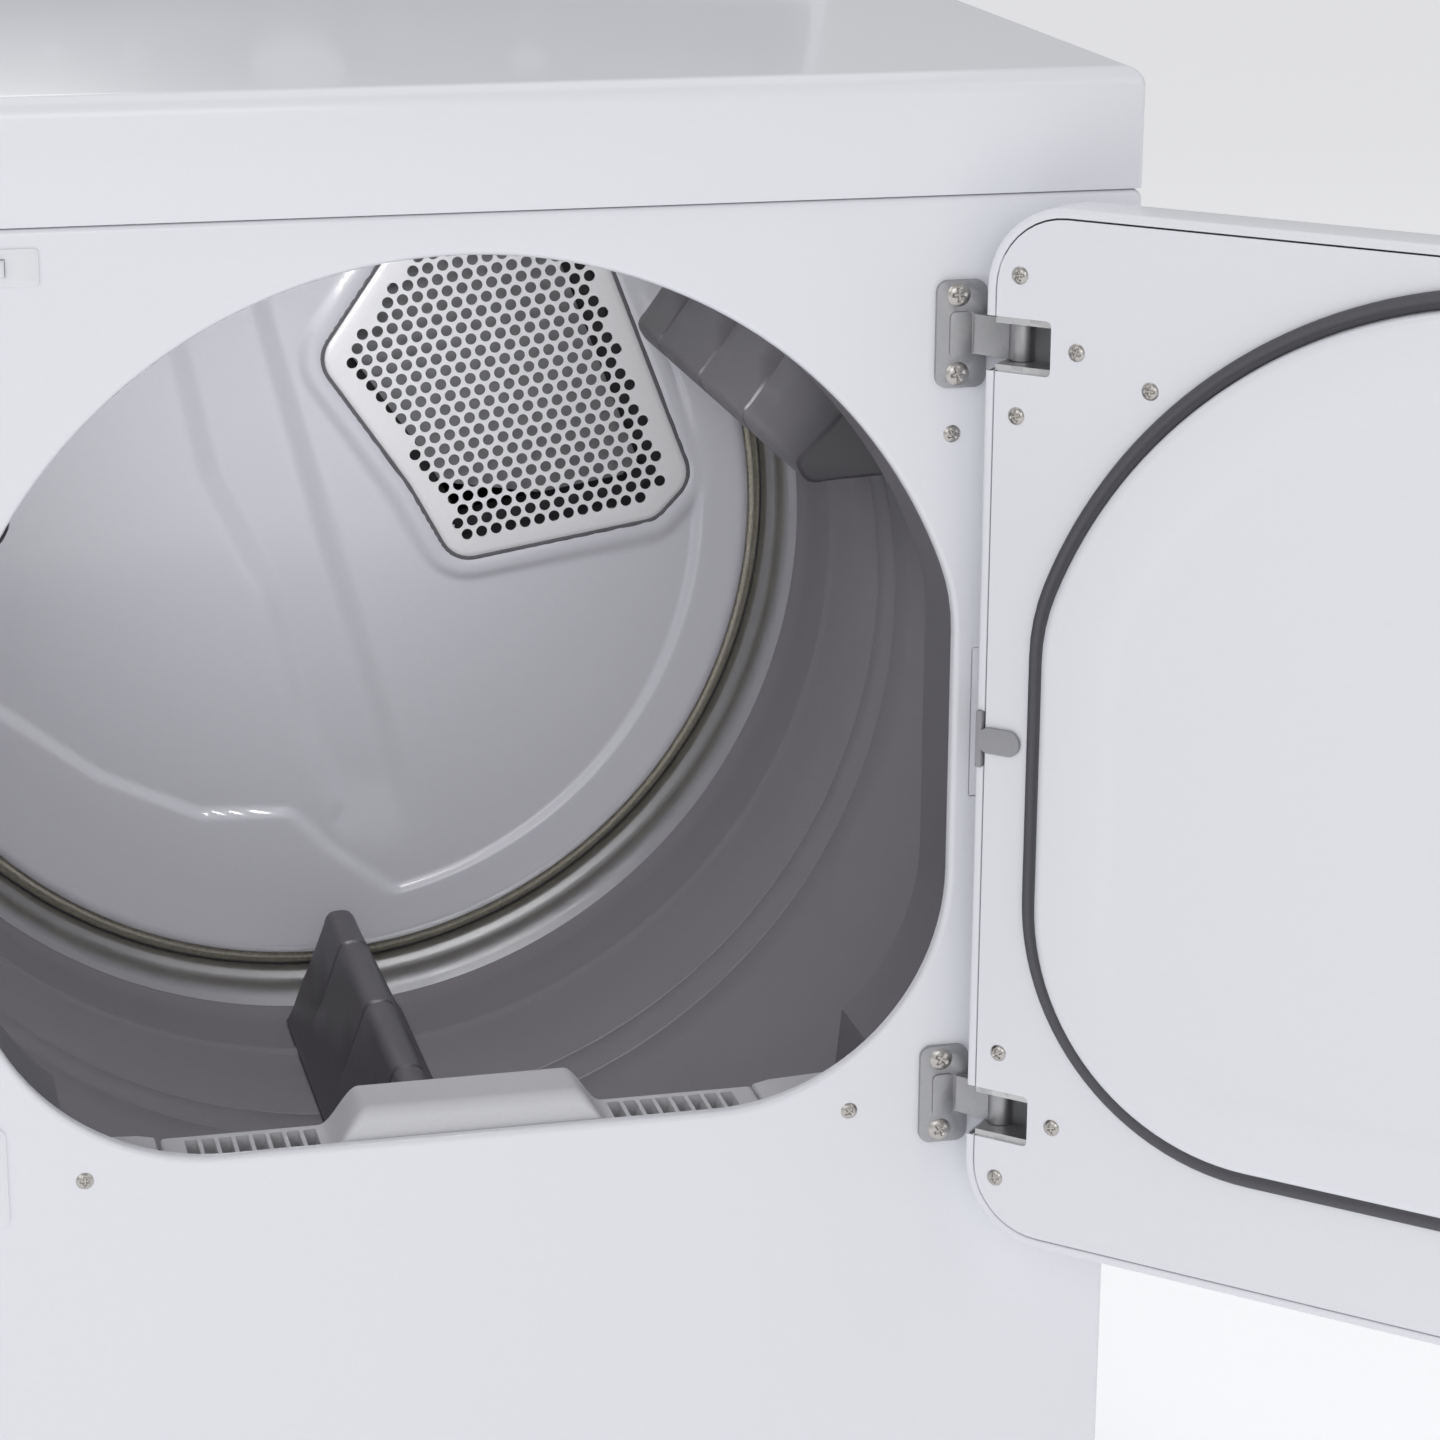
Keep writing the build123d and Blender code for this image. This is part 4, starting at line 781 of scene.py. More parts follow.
def turned(name, profile, material, body, node, sharp=32, segments=224):
    """Carry a closed (radius, y) profile round the drum's axis."""
    count = len(profile)
    mesh = bpy.data.meshes.new(name)
    points = [(r * MM, y * MM, 0) for r, y in profile]
    mesh.from_pydata(points, [(i, (i + 1) % count) for i in range(count)], [])
    thing = link_object(name, mesh)
    values = {"Guide Radius": DRUM_R * MM, "Segments": segments, "Axis Height": DRUM_Z * MM,
              "Finish": material}
    return finish_mesh(run_tree(thing, turned_wall, **values), name, material, body, node, 0, sharp)


print("tree inputs:", [i.name for i in turned_wall.interface.items_tree])

# %% [markdown]
# ## Drum
# The drum is a rolled steel sheet with one deep bead for stiffness near the back, two fine creases
# where the seam rollers ran, and a necked rear edge in bare galvanised steel.

# %% Drum wall


def bead(y, depth, half, steps=8):
    """An inward bead as (radius, y) points, shaped like one wave."""
    points = []
    for step in range(steps + 1):
        turn = 2 * math.pi * step / steps
        points.append((DRUM_R - depth * (1 - math.cos(turn)) / 2, y - half + 2 * half * step / steps))
    return points


def walled(inside, thick=1.0):
    """Close an inner (radius, y) line into a wall."""
    return inside + [(r + thick, y) for r, y in reversed(inside)]


def from_front(*pairs):
    """(radius, depth behind the front panel) pairs as (radius, y) points."""
    return [(r, FRONT + depth) for r, depth in pairs]


NECK = 316.7
CREASE_DEPTH = -0.8
drum_line = from_front((NECK, 58), (NECK, 83), (NECK + 0.8, 86), (DRUM_R - 0.8, 91), (DRUM_R, 94),
                       (DRUM_R, 200), (DRUM_R, 300))
for crease in (345, 383):
    drum_line += bead(FRONT + crease, CREASE_DEPTH, 1.1, 6)
drum_line += from_front((DRUM_R, 430), (DRUM_R, 468)) + bead(FRONT + 487, 2.6, 7.0, 12)
drum_line += from_front((DRUM_R, 520), (DRUM_R, 541), (DRUM_R - 0.6, 545), (DRUM_R - 2.2, 550),
                        (DRUM_R - 4.2, 554), (DRUM_R - 5, 556))
turned("drum_wall", walled(drum_line), DRUM, "drum", "drum_shell")

# %% Rear band and felts
band = from_front((316.0, 556.1), (315.2, 558.5), (313.4, 562.5), (312.5, 565), (311.6, 571), (310.4, 577),
                  (311.0, 583), (310.6, 587), (308.6, 590.5), (305.8, 593), (304.6, 595.5), (304.6, 606))
turned("drum_rear_hoop", walled(band), HOOP, "drum", "drum_rear_band")
rear = from_front((293.1, 612.9), (293.1, 597.2), (293.9, 595.7), (295.4, 595.1), (296.9, 595.8),
                  (297.6, 597.6), (297.8, 606), (303.3, 606), (303.3, 612.9))
turned("rear_felt_ring", rear, FELT, "cabinet", "rear_felt", 60)
fore = from_front((308.1, 60), (314.8, 60), (316.3, 61.5), (316.3, 76.5), (314.8, 78), (308.1, 78))
turned("front_felt_ring", fore, FELT, "cabinet", "front_felt", 60)

# %% [markdown]
# ## Rear wall
# The back of the drum is a still, glossy enamelled pressing. It has a wide shallow trough, a step
# near its rim that swings inwards low down, and a raised surround for the air inlet. The relief is a
# height field: each feature is a distance from a line, turned into height by a smooth step.

# %% Relief of the rear wall
INLET_OUTLINE = ((99, 605), (226, 625), (246, 646), (193, 785), (168, 833), (103, 857), (60, 795), (17.5, 734),
                 (73, 653))
RIM_CUT = ((-262, 560), (-197, 513), (-138, 467), (-75, 437), (-16, 434), (9, 407), (52, 374))
TROUGH_LEFT = ((-110, 880), (-82, 738), (-66, 660), (-30, 583), (-12, 497), (10, 436))
TROUGH_RIGHT = ((-50, 880), (-19, 771), (-6, 717), (21, 613), (54, 493), (73, 396))


def smooth_step(value):
    """0 below 0, 1 above 1, smooth between."""
    value = min(1.0, max(0.0, value))
    return value * value * (3 - 2 * value)


def line_distance(x, z, points, closed=False):
    """Distance to a polyline, and the side: positive on the left of its direction."""
    best = 1e9
    side = 1.0
    count = len(points) if closed else len(points) - 1
    for i in range(count):
        ax, az = points[i]
        bx, bz = points[(i + 1) % len(points)]
        dx, dz = bx - ax, bz - az
        t = max(0.0, min(1.0, ((x - ax) * dx + (z - az) * dz) / (dx * dx + dz * dz)))
        gap = math.hypot(x - ax - t * dx, z - az - t * dz)
        if gap < best - 1e-9:
            best = gap
            side = 1.0 if dx * (z - az) - dz * (x - ax) >= 0 else -1.0
    return best, side


def rounded_outline(points, radius, steps=6):
    """A closed polygon with its corners rounded by arcs of one radius."""
    result = []
    count = len(points)
    for i in range(count):
        before, here, after = (Vector(points[(i + k) % count]) for k in (-1, 0, 1))
        a = (before - here).normalized()
        b = (after - here).normalized()
        half = a.angle(b) / 2
        reach = min(radius / math.tan(half), 0.45 * (before - here).length, 0.45 * (after - here).length)
        true = reach * math.tan(half)
        centre = here + (a + b).normalized() * (true / math.sin(half))
        first, last = here + a * reach - centre, here + b * reach - centre
        sweep = first.angle_signed(last)
        for step in range(steps + 1):
            turn = -sweep * step / steps
            result.append((centre.x + first.x * math.cos(turn) - first.y * math.sin(turn),
                           centre.y + first.x * math.sin(turn) + first.y * math.cos(turn)))
    return result


def grown(points, distance):
    """A closed anticlockwise outline moved outwards along its normals."""
    result = []
    count = len(points)
    for i in range(count):
        ax, az = points[i - 1]
        bx, bz = points[(i + 1) % count]
        share = distance / (math.hypot(bx - ax, bz - az) or 1.0)
        result.append((points[i][0] + (bz - az) * share, points[i][1] - (bx - ax) * share))
    return result


INLET = rounded_outline(INLET_OUTLINE, 13)


def inlet_distance(x, z):
    """Distance outside the air inlet's outline, negative within it."""
    gap, side = line_distance(x, z, INLET, True)
    return -gap * side


def wall_depth(x, z):
    """How far the rear wall lies behind its rim, in millimetres."""
    r = math.hypot(x, z - DRUM_Z)
    inlet = inlet_distance(x, z)
    cut_gap, cut_side = line_distance(x, z, RIM_CUT)
    inside = min(258.0 - r, cut_gap * cut_side)
    depth = 3.8 * smooth_step(inside / 5.0 + 0.5)
    left_gap, left_side = line_distance(x, z, TROUGH_LEFT)
    right_gap, right_side = line_distance(x, z, TROUGH_RIGHT)
    within = min(left_gap * left_side, -right_gap * right_side)
    depth += 6.0 * smooth_step(within / 18.0 + 0.2) * smooth_step(inside / 22.0) * smooth_step((z - 398) / 60)
    surround = smooth_step((24.0 - inlet) / 8.0)
    depth = depth * (1 - surround) + (0.8 + 1.2 * smooth_step((10.5 - inlet) / 3.0)) * surround
    return depth


print("inlet outline points:", len(INLET))

# %% Rear wall mesh
RINGS = 104
SPOKES = 336
EDGE_R = 8.0
wall_skin = Skin()
grid = []
for ring in range(RINGS):
    radius = (WALL_R - EDGE_R) * (1 - (1 - (ring + 1) / RINGS) ** 1.12)
    circle = arc_points(0, DRUM_Z, radius, 0, 360, SPOKES)
    grid.append([(x, WALL_FACE + wall_depth(x, z), z) for x, z in circle])
for step in range(1, 9):
    angle = math.radians(90 * step / 8)
    radius = WALL_R - EDGE_R + EDGE_R * math.sin(angle)
    y = WALL_FACE + EDGE_R * (1 - math.cos(angle))
    grid.append(at_depth(arc_points(0, DRUM_Z, radius, 0, 360, SPOKES), y))
flange_y = FRONT + 613.0
grid.append([(p[0], flange_y, p[2]) for p in grid[-1]])
base = 0
for loop in grid:
    wall_skin.points += loop
middle = (0.0, WALL_FACE + wall_depth(0, DRUM_Z), DRUM_Z)
wall_skin.points.append(middle)
hub = len(wall_skin.points) - 1
for spoke in range(SPOKES):
    after = (spoke + 1) % SPOKES
    wall_skin.faces.append((hub, spoke, after))
    for ring in range(len(grid) - 1):
        here, beyond = ring * SPOKES, (ring + 1) * SPOKES
        quad = (here + spoke, here + after, beyond + after, beyond + spoke)
        centre_x = sum(wall_skin.points[i][0] for i in quad) / 4
        centre_z = sum(wall_skin.points[i][2] for i in quad) / 4
        near_inlet = 0 < centre_x < 260 and 590 < centre_z < 870
        if not (near_inlet and inlet_distance(centre_x, centre_z) < -4.5):
            wall_skin.faces.append(quad)
square = [(x, z) for x, z in round_rect(0, 582.5, 325, 332.5, 6, 6)]
circle = [(p[0], p[2]) for p in grid[-1]]
wall_skin.flat([square, circle], flange_y)
wall_thing = rough_object("rear_wall", wall_skin)
thick = wall_thing.modifiers.new("sheet", "SOLIDIFY")
thick.thickness = 1.0 * MM
thick.offset = 0
mesh = plain_mesh(wall_thing, "rear_wall")
finish_mesh(mesh, "rear_wall", WALL, "cabinet", "rear_bulkhead", 0, 50, 0.005)

# %% [markdown]
# ## Air inlet
# Warm air enters through a plate full of punched holes in a close-packed pattern, tilted a little. The
# tree lays out a grid, shifts every other row by half a pitch, keeps the points that a ray finds over
# the field, and subtracts a short cylinder at each. One rule then makes all of the holes.

# %% Geometry tree: punch a field of holes
punched, start, end = geometry_tree("punched_plate", [
    ("Field", "NodeSocketObject"), ("Pitch", "NodeSocketFloat"), ("Hole Radius", "NodeSocketFloat"),
    ("Tilt", "NodeSocketFloat"), ("Middle", "NodeSocketVector"), ("Finish", "NodeSocketMaterial")])


HOLES_ACROSS = 35
pitch = start.outputs["Pitch"]
row_pitch = maths(punched, "MULTIPLY", pitch, math.sqrt(0.75))
layout = add_node(punched, "GeometryNodeMeshGrid", {
    "Vertices X": HOLES_ACROSS, "Vertices Y": HOLES_ACROSS,
    "Size X": maths(punched, "MULTIPLY", pitch, HOLES_ACROSS - 1),
    "Size Y": maths(punched, "MULTIPLY", row_pitch, HOLES_ACROSS - 1)})
where = add_node(punched, "GeometryNodeInputPosition")
parts = add_node(punched, "ShaderNodeSeparateXYZ", {0: where.outputs[0]})
row = maths(punched, "ROUND", maths(punched, "DIVIDE", parts.outputs["Y"], row_pitch))
odd = maths(punched, "FLOORED_MODULO", row, 2.0)
half_step = maths(punched, "MULTIPLY", maths(punched, "MULTIPLY", odd, 0.5), pitch)
stagger = add_node(punched, "ShaderNodeCombineXYZ", {"X": half_step})
staggered = add_node(punched, "GeometryNodeSetPosition", {
    "Geometry": layout.outputs["Mesh"], "Offset": stagger.outputs[0]})
turn = add_node(punched, "ShaderNodeCombineXYZ", {
    "X": math.radians(90), "Y": maths(punched, "MULTIPLY", start.outputs["Tilt"], -1.0)})
stand = add_node(punched, "GeometryNodeTransform", {
    "Geometry": staggered.outputs[0], "Translation": start.outputs["Middle"], "Rotation": turn.outputs[0]})
field_info = add_node(punched, "GeometryNodeObjectInfo", {"Object": start.outputs["Field"]})
probe = add_node(punched, "GeometryNodeRaycast", {
    "Target Geometry": field_info.outputs["Geometry"], "Ray Direction": (0, 1, 0), "Ray Length": 1.0})
missed = add_node(punched, "FunctionNodeBooleanMath", {0: probe.outputs["Is Hit"]}, operation="NOT")
kept = add_node(punched, "GeometryNodeDeleteGeometry", {
    "Geometry": stand.outputs[0], "Selection": missed.outputs[0]})
punch = add_node(punched, "GeometryNodeMeshCylinder", {
    "Vertices": 20, "Depth": 0.02, "Radius": start.outputs["Hole Radius"]})
placed = add_node(punched, "GeometryNodeInstanceOnPoints", {
    "Points": kept.outputs[0], "Instance": punch.outputs["Mesh"], "Rotation": (math.radians(90), 0, 0)})
punches = add_node(punched, "GeometryNodeRealizeInstances", {0: placed.outputs[0]})
pierce = add_node(punched, "GeometryNodeMeshBoolean", {
    "Mesh 1": start.outputs["Geometry"], "Mesh 2": punches.outputs[0]},
    operation="DIFFERENCE", solver="MANIFOLD")
end_tree(punched, pierce.outputs["Mesh"], start, end)
print("punching tree nodes:", len(punched.nodes))

# %% Perforated plate and its gasket
PLATE_Y = FRONT + 589.4
plate_skin = Skin()
rim = ((5.5, 3.4), (6.4, 2.2), (6.0, 1.0), (4.6, 0.3), (2.6, 0.0))
plate_skin.loft([at_depth(grown(INLET, out), PLATE_Y + back) for out, back in rim])
plate_skin.flat([grown(INLET, 2.6)], PLATE_Y)
plate_skin.loft([at_depth(grown(INLET, 5.5), PLATE_Y + 3.4), at_depth(grown(INLET, 4.4), PLATE_Y + 3.4),
                 at_depth(grown(INLET, 4.4), PLATE_Y + 1.0)])
plate_skin.flat([grown(INLET, 4.4)], PLATE_Y + 1.0)
plate_thing = rough_object("inlet_plate", plate_skin)
field_skin = Skin()
field_skin.flat([grown(INLET, -7.5)], PLATE_Y)
field = rough_object("field", field_skin)
PLATE_PAINT = finish("inlet_plate_paint", (0.70, 0.70, 0.72), speckle, 700, (0.30, 0.40), 0.00003, 0.04,
                     metal=0.15)
HOLE_PITCH, HOLE_R, ROW_TILT = 9.7, 3.7, 9.0
mesh = run_tree(plate_thing, punched, Field=field, Pitch=HOLE_PITCH * MM, **{"Hole Radius": HOLE_R * MM},
                Tilt=math.radians(ROW_TILT), Middle=(0.130, PLATE_Y * MM - 0.005, 0.730), Finish=PLATE_PAINT)
bpy.data.objects.remove(field)
finish_mesh(mesh, "inlet_plate", PLATE_PAINT, "cabinet", "rear_grille", 0, 35, 0.002)
gasket = Skin()
section = ((6.2, -1.0), (6.2, 0.7), (7.0, 1.1), (8.6, 1.1), (9.4, 0.7), (9.4, -1.0))
gasket.loft([at_depth(grown(INLET, out), WALL_FACE + 2.0 - rise) for out, rise in section], ring=True)
new_piece("inlet_gasket", gasket, RUBBER, "cabinet", (), 0, 60)

# %% Duct and baffle behind the plate
# The duct's near-black finish is painted shade: it darkens what the holes show of the inside.
duct = Skin()
duct.loft([at_depth(grown(INLET, -1.0), PLATE_Y + 2.6), at_depth(grown(INLET, -1.0), PLATE_Y + 42.0)])
duct.flat([grown(INLET, -1.0)], PLATE_Y + 42.0)
duct.loft([at_depth(grown(INLET, -2.0), PLATE_Y + 2.6), at_depth(grown(INLET, -2.0), PLATE_Y + 41.0)])
duct.flat([grown(INLET, -2.0)], PLATE_Y + 41.0)
duct.loft([at_depth(grown(INLET, -1.0), PLATE_Y + 2.6), at_depth(grown(INLET, -2.0), PLATE_Y + 2.6)])
new_piece("inlet_duct", duct, PAINTED_SHADE, "cabinet", (), 0, 40)
BAFFLE = finish("baffle_steel", (0.24, 0.24, 0.255), speckle, 300, (0.4, 0.5), 0.00002, 0.05)
baffle = prism([(x - 5.0, z + 3.0) for x, z in grown(INLET, -15.0)], PLATE_Y + 31.0, PLATE_Y + 32.0)
new_piece("inlet_baffle", baffle, BAFFLE, "cabinet", (), 0, 40)

# %% [markdown]
# ## Lifters
# Three hollow plastic lifters carry the clothes round. Each is a fin with a rounded ridge, moulded in
# lengths, so shallow joints cross its upper half. The section is lofted along the drum, leaning back
# at the front end. Sculpting would lose the even section, so stations along the length carry it.

# %% Lifter
FOOT_R = DRUM_R - 3.2
LIFT_RISE = FOOT_R - 243.0
LIFT_Y = (FRONT + 110.2, FRONT + 535.8)
JOINTS = (FRONT + 262, FRONT + 368, FRONT + 474)


def fin_section():
    """Half of the fin's outline, foot first, as (half width, height)."""
    side = [(37.6, 2.0), (35.8, 4.4), (33.0, 10.0), (29.6, 18.5), (25.0, 30.0), (19.2, 44.5), (13.6, 58.0)]
    side += [(10.6, 65.5), (9.6, 69.0), (8.4, 71.6), (6.4, 73.7), (3.6, 74.6)]
    return side


def fin_loop(y, lean, squeeze=0.0):
    """One closed station of the fin; lean moves a point along by its height."""
    half = fin_section()
    ring = [(-w, h) for w, h in half] + [(0.0, LIFT_RISE - 0.1)] + [(w, h) for w, h in reversed(half)]
    ring += [(w, FOOT_R - math.sqrt(318.3 ** 2 - w * w)) for w in (34.0, 18.0, 0.0, -18.0, -34.0)]
    loop = []
    for w, h in ring:
        pinch = squeeze * smooth_step((h - 30) / 6)
        w = w - math.copysign(min(pinch, abs(w)), w)
        h = h - pinch * (h > 70)
        loop.append((w, y + lean * h, DRUM_Z - FOOT_R + h))
    return loop


def lifter(index):
    """One lifter, turned to its place in the drum."""
    lean = math.tan(math.radians(24))
    nose = ((0, 2.2), (0.6, 1.0), (2.0, 0.2), (4.0, 0))
    stations = [fin_loop(LIFT_Y[0] + inset, lean, squeeze) for inset, squeeze in nose]
    first = LIFT_Y[0] + 4.0
    for joint in JOINTS:
        for share in (0.35, 0.7):
            y = first + (joint - 2 - first) * share
            stations.append(fin_loop(y, lean * (1 - min(1, (y - LIFT_Y[0]) / 120))))
        for gap, squeeze in ((-2.6, 0.0), (-1.0, 1.5), (1.0, 1.5), (2.6, 0.0)):
            y = joint + gap
            stations.append(fin_loop(y, lean * max(0, 1 - (y - LIFT_Y[0]) / 120), squeeze))
        first = joint + 3
    for back, squeeze in ((14, 0), (4, 0), (1.6, 0.3), (0.5, 1.1), (0, 2.6)):
        stations.append(fin_loop(LIFT_Y[1] - back, 0.0, squeeze))
    skin = Skin()
    skin.loft(stations)
    skin.cap(stations[0])
    skin.cap(stations[-1])
    turn = Matrix.Rotation(math.radians(-(1.5 + 120 * index)), 3, "Y")
    axis = Vector((0, 0, DRUM_Z))
    skin.points = [tuple(axis + turn @ (Vector(p) - axis)) for p in skin.points]
    number = index + 1
    return new_piece("lifter_%d" % number, skin, LIFTER, "drum", "baffle_%d" % number, 0, 40)


for index in range(3):
    lifter(index)

# %% [markdown]
# ## Lint filter
# The filter lifts out by a low hump. Beside it, two rows of small windows let the air down into the
# screen. The bar is one loft along its length whose height follows a smooth bump; the windows are cut
# after that, because they cross a flat part only.

# %% Lint filter bar
FILTER_Y = (FRONT + 6.8, FRONT + 45.9)
FILTER_TOP = 445.0
HUMP = 21.8


def filter_top(x):
    """Height of the bar's top along its length."""
    return FILTER_TOP + HUMP * smooth_step((75.0 - abs(x)) / 21.0)


def filter_section(x, shrink=0.0):
    """One closed station of the bar in depth and height."""
    top = filter_top(x) - shrink
    y0, y1 = FILTER_Y[0] + shrink, FILTER_Y[1] - shrink
    round_off = 2.0 + 5.0 * smooth_step((75.0 - abs(x)) / 21.0)
    loop = [(x, y0, 431.0)]
    for step in range(7):
        angle = math.radians(90 * step / 6)
        loop.append((x, y0 + round_off * (1 - math.cos(angle)), top - round_off * (1 - math.sin(angle))))
    for step in range(7):
        angle = math.radians(90 - 90 * step / 6)
        loop.append((x, y1 - round_off * (1 - math.cos(angle)), top - round_off * (1 - math.sin(angle))))
    loop.append((x, y1, 431.0))
    return loop


bar = Skin()
stations = [-156.8, -156.4, -155.6] + [-154 + 4 * i for i in range(16)] + [-92 + 2 * i for i in range(21)]
stations += [-50 + 10 * i for i in range(6)]
stations = sorted(set(stations + [-s for s in stations]))
ends = {156.8: 1.2, 156.4: 0.5, 155.6: 0.1}
loops = [filter_section(x, ends.get(abs(x), 0.0)) for x in stations]
bar.loft(loops)
bar.cap(loops[0])
bar.cap(loops[-1])
bar_thing = rough_object("lint_filter_bar", bar)
windows = []
for sign in (-1, 1):
    for slot in range(8):
        x = sign * (146.0 - 8.75 * (slot + 0.5))
        window = Skin()
        outline = round_rect(x, FRONT + 25.5, 3.3, 14.5, 1.2, 3)
        window.solid([(px, py, 430.0) for px, py in outline], [(px, py, 446.0) for px, py in outline])
        windows.append(window)
pieces = [cut(bar_thing, windows)]

# %% Lint filter screen, inner rails and housing
frame_skin = Skin()
outer = round_rect(0, 350.5, 140, 80.5, 4, 4)
holes = [round_rect(sign * 67.5, 354, 62.5, 73, 3, 4) for sign in (-1, 1)]
frame_skin.flat([outer] + holes, FRONT + 22)
frame_skin.flat([outer] + holes, FRONT + 34)
for outline in [outer] + holes:
    frame_skin.loft([at_depth(outline, FRONT + 22), at_depth(outline, FRONT + 34)])
for sign in (-1, 1):
    for y in (24.0, 31.0):
        gauze = round_rect(sign * 67.5, 354, 63, 73.5, 3, 4)
        frame_skin.loft([at_depth(gauze, FRONT + y + k) for k in (0, 0.6)])
        frame_skin.flat([gauze], FRONT + y)
        frame_skin.flat([gauze], FRONT + y + 0.6)
    for y in (19.0, 31.0):
        rail = [(FRONT + y + dy, 436.0 + dz) for dy, dz in ((-0.8, 0), (0.8, 0), (0.8, 2), (-0.8, 2))]
        frame_skin.solid(*[[(sign * x, py, pz) for py, pz in rail] for x in (79.0, 146.0)])
frame_thing = rough_object("lint_screen", frame_skin)
pieces.append(frame_thing.data)
mesh = joined("lint_filter_body", pieces)
bpy.data.objects.remove(frame_thing)
finish_mesh(mesh, "lint_filter_body", GREY_GRAIN, "filter", "lint_filter", 0, 38)

# %% Painted shade under the windows: a dark plate for the lint mesh and the shade seen through the windows
mesh_skin = Skin()
for sign in (-1, 1):
    patch = round_rect(sign * 111.0, FRONT + 25.5, 36.5, 15.5, 2, 3)
    mesh_skin.solid([(px, py, 431.4) for px, py in patch], [(px, py, 432.4) for px, py in patch])
new_piece("lint_window_screen", mesh_skin, PAINTED_SHADE, "filter", (), 0, 40)

# %% [markdown]
# The filter drops into a housing whose shoulders carry on sideways and climb towards the opening's
# round corners. Each shoulder is a ledge with a soft top edge, lofted from the filter's end outwards.

# %% Lint housing
LEDGE = ((158.8, 443.0), (159.6, 444.4), (168.0, 446.2), (184.0, 447.0), (197.0, 447.6), (206.0, 448.0),
         (214.0, 448.4))
HOUSING_Y = (FRONT + 6.8, FRONT + 51.4)
housing = Skin()
for sign in (-1, 1):
    loops = []
    for x, top in LEDGE:
        near, far = HOUSING_Y
        section = ((near, -14), (near, -1.2), (near + 1.2, 0), (far - 3, 0), (far - 0.9, -0.9), (far, -3),
                   (far, -14))
        loops.append([(sign * x, y, top + drop) for y, drop in section])
    housing.loft(loops)
    housing.cap(loops[0])
    housing.cap(loops[-1])
half = 159.2
box = [round_rect(0, FRONT + 33.1, half - inset, 18.3 - inset, 3, 3) for inset in (0, 1.6)]
levels = ((0, 434.4), (0, 250.2), (1.6, 251.8), (1.6, 434.4))
tub = []
for inset, z in levels:
    tub.append([(x, y, z) for x, y in box[0 if inset == 0 else 1]])
housing.loft(tub, ring=True)
housing.cap(tub[1])
housing.cap(tub[2])
new_piece("lint_housing_body", housing, GREY_GRAIN, "cabinet", "lint_housing", 0, 35)

# %% [markdown]
# ## Cast and moulded parts from the working model
# Hinges, covers, the console and its controls already have their true shape. A casting or moulding
# never has a knife edge, so a merged copy of each mesh gets a small bevel that catches the light.

# %% Softened copies


def softened(node, width, material, body, segments=2, angle=38):
    """A copy of a node with its sharp edges broken by a bevel, in millimetres."""
    source = frame["nodes"][node]
    mesh = source.data.copy()
    work = bmesh.new()
    work.from_mesh(mesh)
    bmesh.ops.remove_doubles(work, verts=work.verts, dist=0.004 * MM)
    bmesh.ops.dissolve_limit(work, angle_limit=math.radians(1.0), verts=work.verts, edges=work.edges)
    work.to_mesh(mesh)
    work.free()
    thing = link_object(node + "_soft", mesh)
    bevel = thing.modifiers.new("broken_edge", "BEVEL")
    bevel.width = width * MM
    bevel.segments = segments
    bevel.limit_method = "ANGLE"
    bevel.angle_limit = math.radians(angle)
    bevel.use_clamp_overlap = True
    mesh = plain_mesh(thing, node + "_soft")
    return finish_mesh(mesh, node + "_soft", material, body, node, 0, 40, 0.001)


BODY_OF = {name: body for body, names in frame["record"]["behaviour"]["bodies"].items() for name in names}
for node, width, material, slot in (
        ("hinge_plates", 0.8, CAST_ZINC, "zinc"), ("hole_covers", 0.4, ENAMEL, "white_plastic"),
        ("door_blank", 0.6, SLATE, "grey_plastic"), ("door_strike", 0.4, CAST_ZINC, "zinc"),
        ("door_grip", 0.7, SLATE, "grey_plastic"), ("door_switch", 0.4, WHITE_PLASTIC, "white_plastic"),
        ("console_housing", 1.2, ENAMEL, "white_plastic"),
        ("console_fascia", 0.8, SLATE, "grey_plastic"), ("top_cover", 0.5, ENAMEL, "white_steel")):
    softened(node, width, material, BODY_OF[node])

# %% [markdown]
# ## Screws
# All screws are the same pan head with a cross recess, at two sizes. One head is modelled, and a tree
# places it on points, turned about its own axis by a seeded random angle, since no two screws stop at
# the same angle.

# %% One screw head


def screw_head(name, radius, height):
    """A domed head with a cross recess, face towards minus Y, its seat at the origin."""
    rings, spokes = 13, 48
    skin = Skin()
    loops = []
    for ring in range(rings, 0, -1):
        loop = []
        for spoke in range(spokes):
            angle = 2 * math.pi * spoke / spokes
            r = radius * math.sin(0.5 * math.pi * ring / rings)
            x, z = r * math.cos(angle), r * math.sin(angle)
            rise = height * (1 - (r / radius) ** 3.2)
            across, along = sorted((abs(x), abs(z)))
            arm = smooth_step((0.15 * radius - across) / (0.07 * radius) + 0.5)
            arm *= smooth_step((0.56 * radius - along) / (0.10 * radius) + 0.5)
            loop.append((x, -rise + 0.62 * height * arm, z))
        loops.append(loop)
    skin.loft([[(x, 0.9, z) for x, y, z in loops[0]]] + loops)
    skin.cap([(x, 0.9, z) for x, y, z in loops[0]])
    skin.cap(loops[-1])
    return rough_object(name, skin)


screw_tree, start, end = geometry_tree("screw_set", [
    ("Head", "NodeSocketObject"), ("Facing", "NodeSocketFloat"), ("Seed", "NodeSocketInt"),
    ("Finish", "NodeSocketMaterial")])
head_info = add_node(screw_tree, "GeometryNodeObjectInfo", {"Object": start.outputs["Head"]})
spin = add_node(screw_tree, "FunctionNodeRandomValue", {3: math.pi / 2, "Seed": start.outputs["Seed"]},
                data_type="FLOAT")
about = add_node(screw_tree, "ShaderNodeCombineXYZ", {"Y": spin.outputs[1]})
face = add_node(screw_tree, "ShaderNodeCombineXYZ", {"Z": start.outputs["Facing"]})
own = add_node(screw_tree, "FunctionNodeEulerToRotation", {0: about.outputs[0]})
whole = add_node(screw_tree, "FunctionNodeEulerToRotation", {0: face.outputs[0]})
